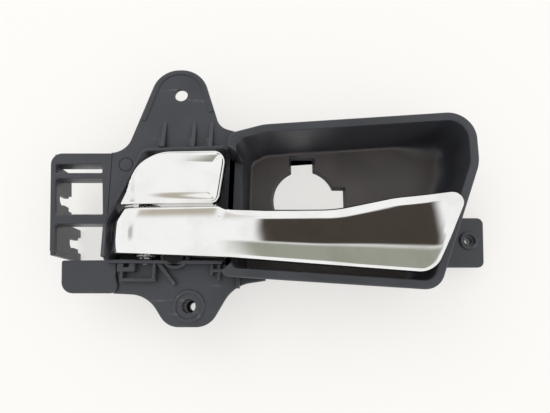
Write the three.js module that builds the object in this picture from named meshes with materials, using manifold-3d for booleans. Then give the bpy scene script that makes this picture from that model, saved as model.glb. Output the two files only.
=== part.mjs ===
// Interior car door handle: a moulded housing with a finger bowl, a chrome pull lever and a
// chrome lock lever that turn on one pivot pin, and a bracket for the two latch cables.
// Millimetres. +Z points out of the door trim, +X runs along the pull lever, and the back of the
// bowl lies in the plane z = 0.
import * as THREE from "three";
import { mergeVertices } from "three/addons/utils/BufferGeometryUtils.js";
import Module from "manifold-3d";

const wasm = await Module();
wasm.setup();

// ---------------------------------------------------------------- driving dimensions
const LEVEL = { rim: 34.5, plate: 30, flange: 26, lowEar: 24, tab: 10 };
const PLATE_THICK = 2.5;
const CENTRING = [0.55, -0.05, 0];
const GAP = 0.3; // clearance between neighbouring pieces
const ARC_STEP = THREE.MathUtils.degToRad(18); // turn of one straight piece of a rounded corner

// The pivot pin runs along Y. Stations along it are counted from the pivot's own origin.
const PIVOT = { x: -59.8, y: -17.5, z: 24 };
const PIN = { radius: 2, from: -16.2, to: 40.6, headRadius: 2.9, headThick: 1.6 };
const CIRCLIP = { from: -13.8, thick: 0.7, radius: 3.8, groove: 0.4, mouth: 1.8 };
const BEARING = { radius: 4.2, flatTop: 2.9, deep: 10, reach: 7.5 };
const UPPER_BEARING = { from: 25.2, to: 28.4 };
const LOWER_BEARING = { from: -16.4, to: -14.2 };
const BUSH = { bore: 2.3, radius: 3.2, length: 3.4, lipRadius: 4.2, lip: 0.8 };
const HUB_RADIUS = 5.6;
const HUB_BORE = BUSH.radius + GAP;
const CURL_RADIUS = 14.3; // the levers' left ends are arcs round the pin

const BRACKET = {
  left: -104.6, // at y = 0; the bracket leans with y
  lean: -0.09,
  right: -76.8,
  top: 18.6,
  bottom: -28.7,
  wall: 2.5,
  windowRight: -80.3,
  barDeep: 9,
  cornerRadius: 5,
};
const WINDOWS = [
  { top: 13.2, bottom: 8.9 },
  { top: 6.2, bottom: -11 },
  { top: -15.5, bottom: -31.7 },
];
const UPPER_TONGUE = { top: 13.2, bottom: -11, foot: 11.5, slotY: -2.4, slotTop: 25 };
const LOWER_TONGUE = { top: -13.4, bottom: -30.2, foot: 0, slotY: -21.6, slotTop: 13.6 };
const SLOT = { width: 4.4, eyeRadius: 2.9, mouth: 8, mouthHeight: 3.5 };

const POCKET = { wall: 1.6, foot: 12, lowTop: 29.5 };
const TOP_HOLE = { x: -45.6, y: 48.5, radius: 3.1 };
const LOW_HOLE = { x: -39, y: -52.5, radius: 3.05, bossRadius: 6.6, bossFoot: 6 };
const TAB_HOLE = { x: 96.4, y: -20.4, radius: 1.8, ringRadius: 4.4, ringHigh: 1.2, bossFoot: 2 };
const BOWL = { lip: 3, lipThick: 2.2, wall: 2.2, floorThick: 2.5, draft: 2.4, dividerTop: 19 };
const FLOOR_HOLE = { x: 16.2, y: 2.2, radius: 15.6 };

const HANDLE = {
  wall: 1.6,
  skirt: 5,
  thick: 7.2,
  hubFrom: -11.8,
  hubTo: 2.2,
  armFrom: -4.3,
  armTo: 1.2,
  armEnd: 13,
};
const LOCK = {
  wall: 1.6,
  skirt: 4.6,
  thick: 6.2,
  hubFrom: 12,
  hubTo: 22.8,
  armFrom: 17.6,
  armTo: 21.8,
  armEnd: 11,
};
const HANDLE_TRAVEL = 35; // degrees
const SWEEP_STEP = 5; // degrees between the stations of a swept clearance
const SPRING = { wire: 0.6, radius: 4.1, turns: 3.5, from: 4.6, to: 9.4, leg: 10 };
const LEAF = { thick: 0.5, from: 12.6, to: 16.4 };
const CUP = { x: -45.6, y: -29.2, radius: 6.8, foot: 16, top: 27.5 };
const BUMPER = { radius: 4.6, from: 20, to: 30.6 };
const LOCK_REST = { x: -30, y: 16.2, radius: 2, ledgeTop: 21.6, to: 24.2 };
const CLIP_BLOCK = {
  left: -71.6,
  right: -63.6,
  bottom: -37.2,
  foot: 18,
  top: 28.2,
  slotX: -67.5,
  slot: 2.6,
};
const PIN_RECESS = { left: -63.3, right: -55.6, bottom: -37.6 };
const SCREW = { radius: 2.6, head: 1.2, slot: 0.6 };

// ---------------------------------------------------------------- outlines (x, y, corner radius)
const RIM_OUTLINE = [
  [-23.4, -39.7, 3],
  [72.4, -45.8, 9],
  [95.2, 12.3, 20],
  [95.4, 38.5, 13],
  [-5, 31.6, 25],
  [-21.8, 27, 5],
];
const POCKET_OUTLINE = [
  [-76.2, -33.4, 2],
  [-24, -33.9, 1],
  [-24, 20.9, 1],
  [-61.6, 19.6, 4.5],
  [-76.2, -15.8, 8],
];
const TOP_EAR_OUTLINE = [
  [-76.5, 18.9, 0],
  [-76.5, -14, 0],
  [-70, -8, 0],
  [-24.2, 10, 0],
  [-24.2, 26, 0],
  [-22.4, 28.4, 0],
  [-18.8, 29.6, 0],
  [-26.4, 31.8, 7],
  [-36, 61.9, 10],
  [-56.4, 61.9, 10],
  [-70.6, 19.3, 9],
];
const TOP_EAR_HEAD = [
  [-32, 42, 0],
  [-36.7, 59.7, 9],
  [-55.6, 59.7, 9],
  [-57.9, 42, 0],
];
const LOW_EAR_OUTLINE = [
  [-73, -46.8, 0],
  [-58.2, -47.6, 15],
  [-48.6, -61.8, 10],
  [-29.6, -61.8, 10],
  [-18.8, -43.2, 16],
  [-4, -41.2, 0],
  [-4, -36, 0],
  [-23.8, -34, 0],
  [-73, -34, 0],
];
const FLANGE_OUTLINE = [
  [-98, -31.9, 1],
  [-96.8, -46.8, 5],
  [-73.4, -46.8, 0],
  [-73.4, -33.9, 0],
  [-77, -31.9, 0],
];
const TAB_OUTLINE = [
  [68, -33.6, 0],
  [103.1, -33.6, 3],
  [104.9, -8.8, 3],
  [76, -8.8, 0],
];
const HANDLE_OUTLINE = [
  [-74.6, -29.4, 4.5],
  [-20, -31.7, 40],
  [66.6, -38.9, 10],
  [84.9, -3.4, 4.6],
  [54, -5.6, 40],
  [27, -12.1, 40],
  [-22.2, -11.6, 1.6],
  [-24.4, -8.2, 2],
  [-73.4, -9.4, 3],
];
const LOCK_OUTLINE = [
  [-71.4, -8, 1.8],
  [-25.2, -7.4, 4],
  [-21.8, 17.5, 5.5],
  [-52.5, 16.8, 12],
  [-62.2, 11.4, 5],
];

// ---------------------------------------------------------------- materials
const plastic = (color, roughness) => new THREE.MeshStandardMaterial({ color, roughness });
const metal = (color, roughness) => new THREE.MeshStandardMaterial({ color, roughness, metalness: 1 });
const MATERIALS = {
  housing: plastic(0x33343a, 0.5),
  carrier: plastic(0x1c1c1f, 0.55),
  chrome: metal(0xe6e6e4, 0.06),
  steel: metal(0x9b9c9e, 0.32),
  acetal: plastic(0xd9d6cc, 0.4),
  rubber: plastic(0x17171a, 0.85),
};

// ---------------------------------------------------------------- solids
function solidOf(geometry) {
  const bare = geometry.index ? geometry.toNonIndexed() : geometry.clone();
  bare.deleteAttribute("normal");
  bare.deleteAttribute("uv");
  const merged = mergeVertices(bare, 1e-4);
  const vertProperties = new Float32Array(merged.attributes.position.array);
  const triVerts = new Uint32Array(merged.index.array);
  return new wasm.Manifold(new wasm.Mesh({ numProp: 3, vertProperties, triVerts }));
}

function geometryOf(solid) {
  const mesh = solid.getMesh();
  const geometry = new THREE.BufferGeometry();
  geometry.setAttribute("position", new THREE.BufferAttribute(mesh.vertProperties, 3));
  geometry.setIndex(new THREE.BufferAttribute(mesh.triVerts, 1));
  return geometry;
}

const join = (first, ...rest) => rest.reduce((all, solid) => all.add(solid), first);
const cut = (first, ...rest) => rest.reduce((all, solid) => all.subtract(solid), first);

// The points of one corner (x, y, radius), rounded by an arc that is tangent to both edges.
function cornerPoints([x, y, radius], previous, next) {
  const corner = new THREE.Vector2(x, y);
  if (radius === 0) return [corner];
  const back = new THREE.Vector2(previous[0], previous[1]).sub(corner).normalize();
  const ahead = new THREE.Vector2(next[0], next[1]).sub(corner).normalize();
  const half = Math.acos(THREE.MathUtils.clamp(back.dot(ahead), -1, 1)) / 2;
  const middle = back.clone().add(ahead).normalize();
  const centre = corner.clone().addScaledVector(middle, radius / Math.sin(half));
  const start = corner.clone().addScaledVector(back, radius / Math.tan(half)).sub(centre);
  const end = corner.clone().addScaledVector(ahead, radius / Math.tan(half)).sub(centre);
  const clockwise = back.cross(ahead) > 0;
  const arc = new THREE.EllipseCurve(
    centre.x, centre.y, radius, radius, start.angle(), end.angle(), clockwise,
  );
  return arc.getPoints(Math.max(2, Math.ceil((Math.PI - 2 * half) / ARC_STEP)));
}

// A closed outline whose corners are rounded.
const roundedShape = (corners) =>
  new THREE.Shape(
    corners.flatMap((corner, i) =>
      cornerPoints(corner, corners.at(i - 1), corners[(i + 1) % corners.length]),
    ),
  );

// The outline moved inwards by a distance; outlines run anticlockwise.
function inset(corners, distance) {
  const edges = corners.map(([x, y], i) => {
    const [nextX, nextY] = corners[(i + 1) % corners.length];
    const length = Math.hypot(nextX - x, nextY - y);
    const dx = (nextX - x) / length;
    const dy = (nextY - y) / length;
    return { x: x - dy * distance, y: y + dx * distance, dx, dy };
  });
  return corners.map(([, , radius], i) => {
    const a = edges.at(i - 1);
    const b = edges[i];
    const turn = a.dx * b.dy - a.dy * b.dx;
    const along = ((b.x - a.x) * b.dy - (b.y - a.y) * b.dx) / turn;
    const newRadius = turn > 0 ? Math.max(radius - distance, 0.4) : radius + distance;
    return [a.x + a.dx * along, a.y + a.dy * along, newRadius];
  });
}

function prismOf(shape, from, to) {
  const options = { depth: to - from, bevelEnabled: false };
  return solidOf(new THREE.ExtrudeGeometry(shape, options).translate(0, 0, from));
}

const slab = (corners, from, to) => prismOf(roundedShape(corners), from, to);

const box = (x0, x1, y0, y1, z0, z1) =>
  solidOf(
    new THREE.BoxGeometry(x1 - x0, y1 - y0, z1 - z0).translate(
      (x0 + x1) / 2,
      (y0 + y1) / 2,
      (z0 + z1) / 2,
    ),
  );

// An upright cylinder.
const post = (x, y, radius, from, to, sides = 24) =>
  solidOf(
    new THREE.CylinderGeometry(radius, radius, to - from, sides)
      .rotateX(Math.PI / 2)
      .translate(x, y, (from + to) / 2),
  );

// A cylinder along Y, from one station to another.
const rod = (radius, from, to, x = 0, z = 0, sides = 24) =>
  solidOf(
    new THREE.CylinderGeometry(radius, radius, to - from, sides).translate(x, (from + to) / 2, z),
  );

// A side outline in X and Z carried along Y.
function carried(shape, from, to) {
  const options = { depth: to - from, bevelEnabled: false };
  const geometry = new THREE.ExtrudeGeometry(shape, options);
  return solidOf(geometry.rotateX(Math.PI / 2).translate(0, to, 0));
}

// A slab whose lower end is drawn in, as a moulding with draft is.
function draftedSlab(corners, from, to, draft) {
  const options = { depth: to - from, bevelEnabled: false };
  const top = roundedShape(corners);
  const geometry = new THREE.ExtrudeGeometry(top, options).translate(0, 0, from);
  geometry.computeBoundingBox();
  const middle = geometry.boundingBox.getCenter(new THREE.Vector3());
  const size = geometry.boundingBox.getSize(new THREE.Vector3());
  const place = geometry.attributes.position;
  for (let i = 0; i < place.count; i++) {
    if (place.getZ(i) > (from + to) / 2) continue;
    place.setX(i, middle.x + (place.getX(i) - middle.x) * (1 - (2 * draft) / size.x));
    place.setY(i, middle.y + (place.getY(i) - middle.y) * (1 - (2 * draft) / size.y));
  }
  return solidOf(geometry);
}

// ---------------------------------------------------------------- the pivot's own frame
const toPivot = ([x, y, radius]) => [x - PIVOT.x, y - PIVOT.y, radius];

// A solid made in the pivot's frame, moved into the part's frame.
const fromPivot = (solid) => solidOf(geometryOf(solid).translate(PIVOT.x, PIVOT.y, PIVOT.z));

// The front surface of a lever, as a side outline: an arc round the pin, then a slow rise.
// It is lowered by `deep`, and the stations beyond the arc are (distance, height over the pin).
function frontLine(deep, stations) {
  const radius = CURL_RADIUS - deep;
  const arc = new THREE.EllipseCurve(0, 0, radius, radius, Math.PI * 0.98, Math.PI * 0.5, true);
  const curled = arc.getPoints(9);
  const rise = new THREE.SplineCurve([
    new THREE.Vector2(0, radius),
    ...stations.map(([along, high]) => new THREE.Vector2(along, high - deep)),
  ]);
  return [...curled, ...rise.getPoints(8).slice(1)];
}

// The layer of a lever between two depths under its front surface.
function leverLayer(stations, upper, lower) {
  const top = frontLine(upper, stations);
  const bottom = frontLine(lower, stations).reverse();
  return carried(new THREE.Shape([...top, ...bottom]), -45, 75);
}

// What the pocket's left wall sweeps, seen from a lever that opens: the wall turned back about
// the pin in small steps, and grown by a clearance.
function sweptWall(clearance) {
  const wall = cut(
    box(-120, -50, -60, 50, 0, LEVEL.rim + clearance),
    slab(inset(POCKET_OUTLINE, POCKET.wall + clearance), -5, 60),
  );
  const local = geometryOf(wall).translate(-PIVOT.x, -PIVOT.y, -PIVOT.z);
  const copies = Array.from({ length: HANDLE_TRAVEL / SWEEP_STEP + 1 }, (_, i) =>
    solidOf(local.clone().rotateY(THREE.MathUtils.degToRad(i * SWEEP_STEP))),
  );
  return join(...copies);
}

const HANDLE_LINE = [
  [40, 14.4],
  [85, 16],
  [150, 19.2],
];
const LOCK_LINE = [
  [20, 14.2],
  [60, 13.4],
];

// A hollow cap: the front layer and a skirt round the edge.
function leverCap(outline, line, size) {
  const plan = outline.map(toPivot);
  const body = cut(
    slab(plan, -20, 40).intersect(leverLayer(line, 0, size.skirt)),
    sweptWall(GAP),
  );
  const room = cut(
    slab(inset(plan, size.wall), -20, 40).intersect(leverLayer(line, size.wall, size.skirt + 3)),
    sweptWall(GAP + size.wall),
  );
  return cut(body, room);
}

// The moulding that fills the cap from behind.
function leverBack(outline, line, size) {
  const inside = size.wall + GAP;
  const plan = inset(outline.map(toPivot), inside);
  const layer = leverLayer(line, inside, size.thick);
  return cut(slab(plan, -20, 40).intersect(layer), sweptWall(GAP + inside));
}

// ---------------------------------------------------------------- housing
const leaning = (x, y) => x + BRACKET.lean * y;

const leaningBox = (left, right, bottom, top, from, to) =>
  slab(
    [
      [leaning(left, bottom), bottom, 0],
      [leaning(right, bottom), bottom, 0],
      [leaning(right, top), top, 0],
      [leaning(left, top), top, 0],
    ],
    from,
    to,
  );

// A cable tongue: a wall with a keyhole that is open at its foot.
function tongue({ top, bottom, foot, slotY, slotTop }) {
  const left = BRACKET.left;
  const right = left + BRACKET.wall;
  const wall = leaningBox(left, right, bottom, top, foot, LEVEL.plate);
  const x0 = leaning(left, slotY) - 3;
  const x1 = leaning(right, slotY) + 3;
  const eyeZ = slotTop - SLOT.eyeRadius;
  const eye = solidOf(
    new THREE.CylinderGeometry(SLOT.eyeRadius, SLOT.eyeRadius, x1 - x0, 20)
      .rotateZ(Math.PI / 2)
      .translate((x0 + x1) / 2, slotY, eyeZ),
  );
  const slot = box(x0, x1, slotY - SLOT.width / 2, slotY + SLOT.width / 2, foot - 1, eyeZ);
  const mouthTop = foot + SLOT.mouthHeight;
  const mouth = box(x0, x1, slotY - SLOT.mouth / 2, slotY + SLOT.mouth / 2, foot - 1, mouthTop);
  return cut(wall, eye, slot, mouth);
}

function bracket() {
  const { left, right, top, bottom, wall, windowRight, barDeep, cornerRadius } = BRACKET;
  const under = LEVEL.plate - barDeep;
  const foot = WINDOWS[2].bottom;
  const plate = slab(
    [
      [leaning(left, bottom), bottom, 1.5],
      [leaning(left + 9, bottom), bottom, 0],
      [leaning(left + 9, foot), foot, 0],
      [right, foot, 0],
      [right, top, 0],
      [leaning(left, top), top, cornerRadius],
    ],
    LEVEL.plate - PLATE_THICK,
    LEVEL.plate,
  );
  const openings = WINDOWS.map(({ bottom: low, top: high }) =>
    leaningBox(left + wall, windowRight, low === foot ? low - 3 : low, high, -1, 40),
  );
  const barEnds = [left + wall - 0.5, windowRight + 0.5];
  const bars = [
    leaningBox(...barEnds, WINDOWS[0].top, top, under, LEVEL.plate),
    leaningBox(...barEnds, WINDOWS[1].top, WINDOWS[0].bottom, under, LEVEL.plate),
    leaningBox(...barEnds, WINDOWS[2].top, WINDOWS[1].bottom, under, LEVEL.plate),
  ];
  const rightWall = slab(
    [
      [leaning(windowRight, foot), foot, 0],
      [right, foot, 0],
      [right, top, 0],
      [leaning(windowRight, top), top, 0],
    ],
    under,
    LEVEL.plate,
  );
  return join(cut(plate, ...openings), ...bars, rightWall, tongue(UPPER_TONGUE), tongue(LOWER_TONGUE));
}

// The front plate from the bracket to the pocket, with the upper screw ear.
function topEar() {
  const plate = slab(TOP_EAR_OUTLINE, LEVEL.plate - PLATE_THICK, LEVEL.plate);
  const pocketRoom = slab(inset(POCKET_OUTLINE, -GAP), 0, 40);
  const hole = post(TOP_HOLE.x, TOP_HOLE.y, TOP_HOLE.radius, 0, 50);
  const raised = cut(
    slab(TOP_EAR_HEAD, LEVEL.plate - 1, LEVEL.plate + 0.8),
    slab(inset(TOP_EAR_HEAD, 2.4), LEVEL.plate - 2, LEVEL.plate + 2),
  );
  return cut(join(plate, raised, ...topGussets()), pocketRoom, bowlRoom(), hole);
}

// Three triangular gussets stand on the ear against the pocket's upper wall.
function topGussets() {
  const side = new THREE.Shape();
  side.moveTo(0, 0);
  side.lineTo(12, 0);
  side.lineTo(0, LEVEL.rim - LEVEL.plate + 0.6);
  return [-52.4, -38, -29.6].map((x) => {
    const options = { depth: 2, bevelEnabled: false };
    const wedge = new THREE.ExtrudeGeometry(side, options);
    wedge.rotateX(Math.PI / 2).rotateZ(Math.PI / 2);
    return solidOf(wedge.translate(x, 22.2, LEVEL.plate - 0.6));
  });
}

// A lug that carries the pin, flat on top, drawn down to a foot and out to the left wall.
function bearing({ from, to }) {
  const { radius, flatTop, deep, reach } = BEARING;
  const lug = join(
    rod(radius, from, to),
    box(-radius, radius, from, to, -deep, 0),
    box(-reach, 0, from, to, -deep, flatTop),
  );
  return cut(lug, box(-reach - 1, 9, from - 1, to + 1, flatTop, 9));
}

// The wall round the pocket, the two bearings, the clip block and the bumper seats.
function pocket() {
  const outer = slab(POCKET_OUTLINE, POCKET.foot, LEVEL.rim);
  const room = slab(inset(POCKET_OUTLINE, POCKET.wall), POCKET.foot - 1, LEVEL.rim + 1);
  const mouth = box(-26, -20, -32, 19, POCKET.foot - 1, LEVEL.rim + 1);
  const lowSide = box(-80, -20, -36, -29.5, POCKET.lowTop, LEVEL.rim + 1);
  const wall = cut(outer, room, mouth, lowSide);
  const { left, right, bottom, foot, top, slotX, slot } = CLIP_BLOCK;
  const block = box(left, right, bottom, POCKET_OUTLINE[0][1] + 1, foot, top);
  const blockSlot = box(slotX - slot / 2, slotX + slot / 2, bottom + 2, -30, top - 5, top + 5);
  const cup = post(CUP.x, CUP.y, CUP.radius, CUP.foot, CUP.top);
  const cupBore = post(CUP.x, CUP.y, BUMPER.radius + GAP, BUMPER.from - GAP, 40);
  const { x, y, ledgeTop } = LOCK_REST;
  const ledge = box(x - 3, x + 3, y - 2.6, y + 4, ledgeTop - 8, ledgeTop);
  const lugs = [UPPER_BEARING, LOWER_BEARING].map((place) => fromPivot(bearing(place)));
  const bores = fromPivot(rod(PIN.radius + GAP, -30, 60));
  const inside = slab(inset(POCKET_OUTLINE, GAP), 0, 40);
  const trimmedLugs = lugs.map((lug) => lug.intersect(inside));
  return cut(join(wall, ...trimmedLugs, block, cup, ledge), bores, cupBore, blockSlot);
}

// The lower flange, the lower screw ear with its long boss, and the small ribs between them.
function lowEar() {
  const under = LEVEL.lowEar - PLATE_THICK;
  const ear = slab(LOW_EAR_OUTLINE, under, LEVEL.lowEar);
  const flange = slab(FLANGE_OUTLINE, LEVEL.flange - PLATE_THICK, LEVEL.flange);
  const step = box(-74.5, -71.9, -46.4, -34.4, under, LEVEL.flange);
  const boss = post(LOW_HOLE.x, LOW_HOLE.y, LOW_HOLE.bossRadius, LOW_HOLE.bossFoot, LEVEL.lowEar);
  const collar = cut(
    post(LOW_HOLE.x, LOW_HOLE.y, LOW_HOLE.bossRadius + 0.8, under, LEVEL.lowEar + 0.8),
    post(LOW_HOLE.x, LOW_HOLE.y, LOW_HOLE.bossRadius - 0.8, LEVEL.lowEar - 0.6, 40),
  );
  const base = LEVEL.lowEar - 1;
  const ribs = [
    box(-70.2, -54, -41.6, -40.2, base, 28),
    box(-70.2, -68.8, -40.6, -37.6, base, 28),
    box(-55.4, -54, -40.6, -34.2, base, 28.6),
    box(-29.4, -28, -39, -34.2, base, 27),
    box(-26, -24.6, -41, -34.2, base, 27),
    box(-17.2, -15.8, -43.4, -34.2, base, 28),
  ];
  const hole = post(LOW_HOLE.x, LOW_HOLE.y, LOW_HOLE.radius, 0, 50);
  const block = box(
    CLIP_BLOCK.left - GAP,
    CLIP_BLOCK.right + GAP,
    CLIP_BLOCK.bottom - GAP,
    0,
    0,
    40,
  );
  const recess = box(PIN_RECESS.left, PIN_RECESS.right, PIN_RECESS.bottom, 0, 0, 40);
  const cup = post(CUP.x, CUP.y, CUP.radius + GAP, 0, 40);
  const pocketRoom = slab(inset(POCKET_OUTLINE, -GAP), 0, 40);
  const whole = join(ear, flange, step, boss, collar, ...ribs);
  return cut(whole, hole, block, recess, cup, pocketRoom, bowlRoom());
}

// The space that the bowl's outside takes, with the clearance round it.
const bowlRoom = () => draftedSlab(inset(RIM_OUTLINE, BOWL.lip - 0.6 - GAP), 2.5, 34.3, BOWL.draft);

// The bowl's walls and lip; the side next to the pocket is low, so that the levers pass over it.
function bowlWalls() {
  const foot = BOWL.floorThick + GAP;
  const lip = slab(RIM_OUTLINE, LEVEL.rim - BOWL.lipThick, LEVEL.rim);
  const outside = inset(RIM_OUTLINE, BOWL.lip - 0.6);
  const inside = inset(RIM_OUTLINE, BOWL.lip - 0.6 + BOWL.wall);
  const body = draftedSlab(outside, foot, LEVEL.rim - 0.5, BOWL.draft);
  const room = draftedSlab(inside, foot - 1, LEVEL.rim + 1, BOWL.draft);
  const passage = box(-30, -14.5, -37.4, 21, BOWL.dividerTop, 40);
  const behindPocket = box(-40, -23.7, -60, 60, 0, 40);
  return join(cut(join(lip, body), room, passage, behindPocket), tab());
}

function tab() {
  const under = LEVEL.tab - PLATE_THICK;
  const plate = slab(TAB_OUTLINE, under, LEVEL.tab);
  const inBowl = draftedSlab(inset(RIM_OUTLINE, BOWL.lip + 0.4), -1, 40, BOWL.draft);
  const { x, y, radius, ringRadius, ringHigh, bossFoot } = TAB_HOLE;
  const ring = post(x, y, ringRadius, bossFoot, LEVEL.tab + ringHigh);
  const seat = post(x, y, ringRadius - 1.2, LEVEL.tab - 0.5, 40);
  return cut(join(cut(plate, inBowl), ring), seat, post(x, y, radius, 0, 40));
}

// The bowl's floor, with its round opening and the two notches at its edge.
function bowlFloor() {
  const plan = inset(RIM_OUTLINE, BOWL.lip - 0.6 + BOWL.draft + 0.2);
  const floor = slab(plan, 0, BOWL.floorThick);
  const { x, y, radius } = FLOOR_HOLE;
  return cut(
    floor,
    post(x, y, radius, -1, 10, 40),
    box(x - 7, x + 4.2, y, y + 21.2, -1, 10),
    box(x, x + radius + 4.4, y - 12, y + 5.6, -1, 10),
    box(-40, -17.2, -60, 60, -1, 10),
  );
}

const lockRest = () =>
  post(LOCK_REST.x, LOCK_REST.y, LOCK_REST.radius, LOCK_REST.ledgeTop + GAP, LOCK_REST.to, 16);

// ---------------------------------------------------------------- pivot hardware
function pivotPin() {
  const shaft = rod(PIN.radius, PIN.from, PIN.to);
  const head = rod(PIN.headRadius, PIN.to - PIN.headThick, PIN.to);
  const { from, thick, groove } = CIRCLIP;
  const grooveCut = cut(
    rod(PIN.radius + 1, from - 0.25, from + thick + 0.25),
    rod(PIN.radius - groove, from - 2, from + 3),
  );
  return cut(join(shaft, head), grooveCut);
}

function circlip() {
  const { from, thick, radius, groove, mouth } = CIRCLIP;
  const ring = cut(rod(radius, from, from + thick), rod(PIN.radius - groove + 0.15, from - 1, from + 2));
  return cut(ring, box(-mouth / 2, mouth / 2, from - 1, from + 2, 0, 8));
}

function bush(from, outward) {
  const lipFrom = outward > 0 ? from + BUSH.length : from - BUSH.lip;
  const body = join(
    rod(BUSH.radius, from, from + BUSH.length),
    rod(BUSH.lipRadius, lipFrom, lipFrom + BUSH.lip),
  );
  return cut(body, rod(BUSH.bore, from - 5, from + BUSH.length + 5));
}

// The return spring: a helix round the pin. One leg hooks behind the handle's arm, and the other
// runs down and out to the pocket's wall.
function returnSpring() {
  const { wire, radius, turns, from, to, leg } = SPRING;
  const steps = Math.round(turns * 14);
  const coil = Array.from({ length: steps + 1 }, (_, i) => {
    const angle = (i / steps) * turns * 2 * Math.PI;
    const along = from + ((to - from) * i) / steps;
    return new THREE.Vector3(radius * Math.cos(angle), along, radius * Math.sin(angle));
  });
  const handleLeg = [
    new THREE.Vector3(radius + 0.6, from - 6, -leg),
    new THREE.Vector3(radius + 0.6, from - 1.6, -leg + 1),
    new THREE.Vector3(radius + 0.2, from, -leg / 2),
  ];
  const wallLeg = [
    new THREE.Vector3(-radius, to, -leg / 2),
    new THREE.Vector3(-radius - 1.2, to, -leg + 0.6),
    new THREE.Vector3(-radius - 3, to, -leg),
    new THREE.Vector3(-radius - 5.6, to, -leg),
  ];
  const path = new THREE.CatmullRomCurve3([...handleLeg, ...coil, ...wallLeg], false, "centripetal");
  const section = new THREE.Shape();
  section.absarc(0, 0, wire, 0, 2 * Math.PI, false);
  return solidOf(
    new THREE.ExtrudeGeometry(section, { steps: steps + 22, curveSegments: 6, extrudePath: path }),
  );
}

// The lock's detent spring: a bent leaf from the pocket's wall to the lock hub.
function detentSpring() {
  const { thick, from, to } = LEAF;
  const line = [
    [-8.2, -11.4],
    [-7.4, -11.4],
    [-4.9, -5.4],
    [-4.1, -5.2],
    [-1.6, -7.2],
  ];
  const side = new THREE.Shape([
    ...line.map(([x, z]) => new THREE.Vector2(x, z)),
    ...line.map(([x, z]) => new THREE.Vector2(x, z - thick)).reverse(),
  ]);
  return carried(side, from, to);
}

// ---------------------------------------------------------------- levers
// The hub, and the arm that hangs from it with an eye for the cable's end.
function hubAndArm({ hubFrom, hubTo, armFrom, armTo, armEnd }) {
  const hub = rod(HUB_RADIUS, hubFrom, hubTo);
  const arm = box(-3.2, 3.2, armFrom, armTo, -armEnd, 0);
  const end = rod(4.2, armFrom, armTo, 0, -armEnd);
  const eye = rod(2.1, armFrom - 1, armTo + 1, 0, -armEnd, 16);
  return { hub, arm: cut(join(arm, end), eye, rod(HUB_RADIUS - 0.5, hubFrom, hubTo)) };
}

function handleHub() {
  const { hub, arm } = hubAndArm(HANDLE);
  const web = box(-5, 5, HANDLE.hubFrom + 0.5, HANDLE.hubTo - 0.2, 0, 8);
  const underBack = leverLayer(HANDLE_LINE, -30, HANDLE.thick + GAP);
  const solid = join(hub, arm, cut(web, underBack));
  return cut(solid, rod(BUSH.bore + 0.4, -30, 40), ...bushSeats(HANDLE));
}

function lockHub() {
  const { hub, arm } = hubAndArm(LOCK);
  const web = box(-5, 5, LOCK.hubFrom + 0.5, LOCK.hubTo - 0.5, 0, 9);
  const underBack = leverLayer(LOCK_LINE, -30, LOCK.thick + GAP);
  const solid = join(hub, arm, cut(web, underBack));
  return cut(solid, rod(BUSH.bore + 0.4, -30, 60), ...bushSeats(LOCK));
}

const bushSeats = ({ hubFrom, hubTo }) => [
  rod(HUB_BORE, hubFrom - 1, hubFrom + BUSH.length + GAP),
  rod(HUB_BORE, hubTo - BUSH.length - GAP, hubTo + 1),
];

// The height of a lever's front surface over the pin, at a distance from the pin.
function frontHeight(line, along) {
  const points = frontLine(0, line);
  const next = points.findIndex((point, i) => i > 0 && point.x >= along);
  const [a, b] = [points[next - 1], points[next]];
  return a.y + ((b.y - a.y) * (along - a.x)) / (b.x - a.x);
}

// The head of a screw that stands under a lever's back, with its cross recess.
function coverScrew(x, y, line, size) {
  const [along, station] = toPivot([x, y, 0]);
  const top = frontHeight(line, along) - size.thick - GAP;
  const { radius, head, slot } = SCREW;
  const arm = radius * 0.55;
  const deep = top - head * 1.5;
  return cut(
    post(along, station, radius, top - head, top, 18),
    box(along - arm, along + arm, station - slot / 2, station + slot / 2, deep, top - head / 2),
    box(along - slot / 2, along + slot / 2, station - arm, station + arm, deep, top - head / 2),
  );
}

const HANDLE_SCREWS = [
  [-30, -20],
  [20, -22],
  [64, -24],
];
const LOCK_SCREWS = [
  [-34, -2],
  [-34, 11],
];

// ---------------------------------------------------------------- assembly
const part = new THREE.Group();
const model = new THREE.Group(); // centres the outline on the part's origin
model.position.set(...CENTRING);
part.add(model);
const pivot = new THREE.Group();
pivot.position.set(PIVOT.x, PIVOT.y, PIVOT.z);
model.add(pivot);

function place(group, name, shape, material) {
  const geometry = shape.isBufferGeometry ? shape : geometryOf(shape);
  geometry.computeVertexNormals();
  const mesh = new THREE.Mesh(geometry, MATERIALS[material]);
  mesh.name = name;
  group.add(mesh);
}

place(model, "housing_bracket", bracket(), "housing");
place(model, "housing_top_ear", topEar(), "housing");
place(model, "housing_pocket", pocket(), "housing");
place(model, "housing_low_ear", lowEar(), "housing");
place(model, "housing_bowl", bowlWalls(), "housing");
place(model, "housing_bowl_floor", bowlFloor(), "housing");
place(model, "handle_rest_bumper", post(CUP.x, CUP.y, BUMPER.radius, BUMPER.from, BUMPER.to), "rubber");
place(model, "lock_rest_bumper", lockRest(), "rubber");

place(pivot, "pivot_pin", pivotPin(), "steel");
place(pivot, "pin_circlip", circlip(), "steel");
place(pivot, "return_spring", returnSpring(), "steel");
place(pivot, "lock_detent_spring", detentSpring(), "steel");

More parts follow.
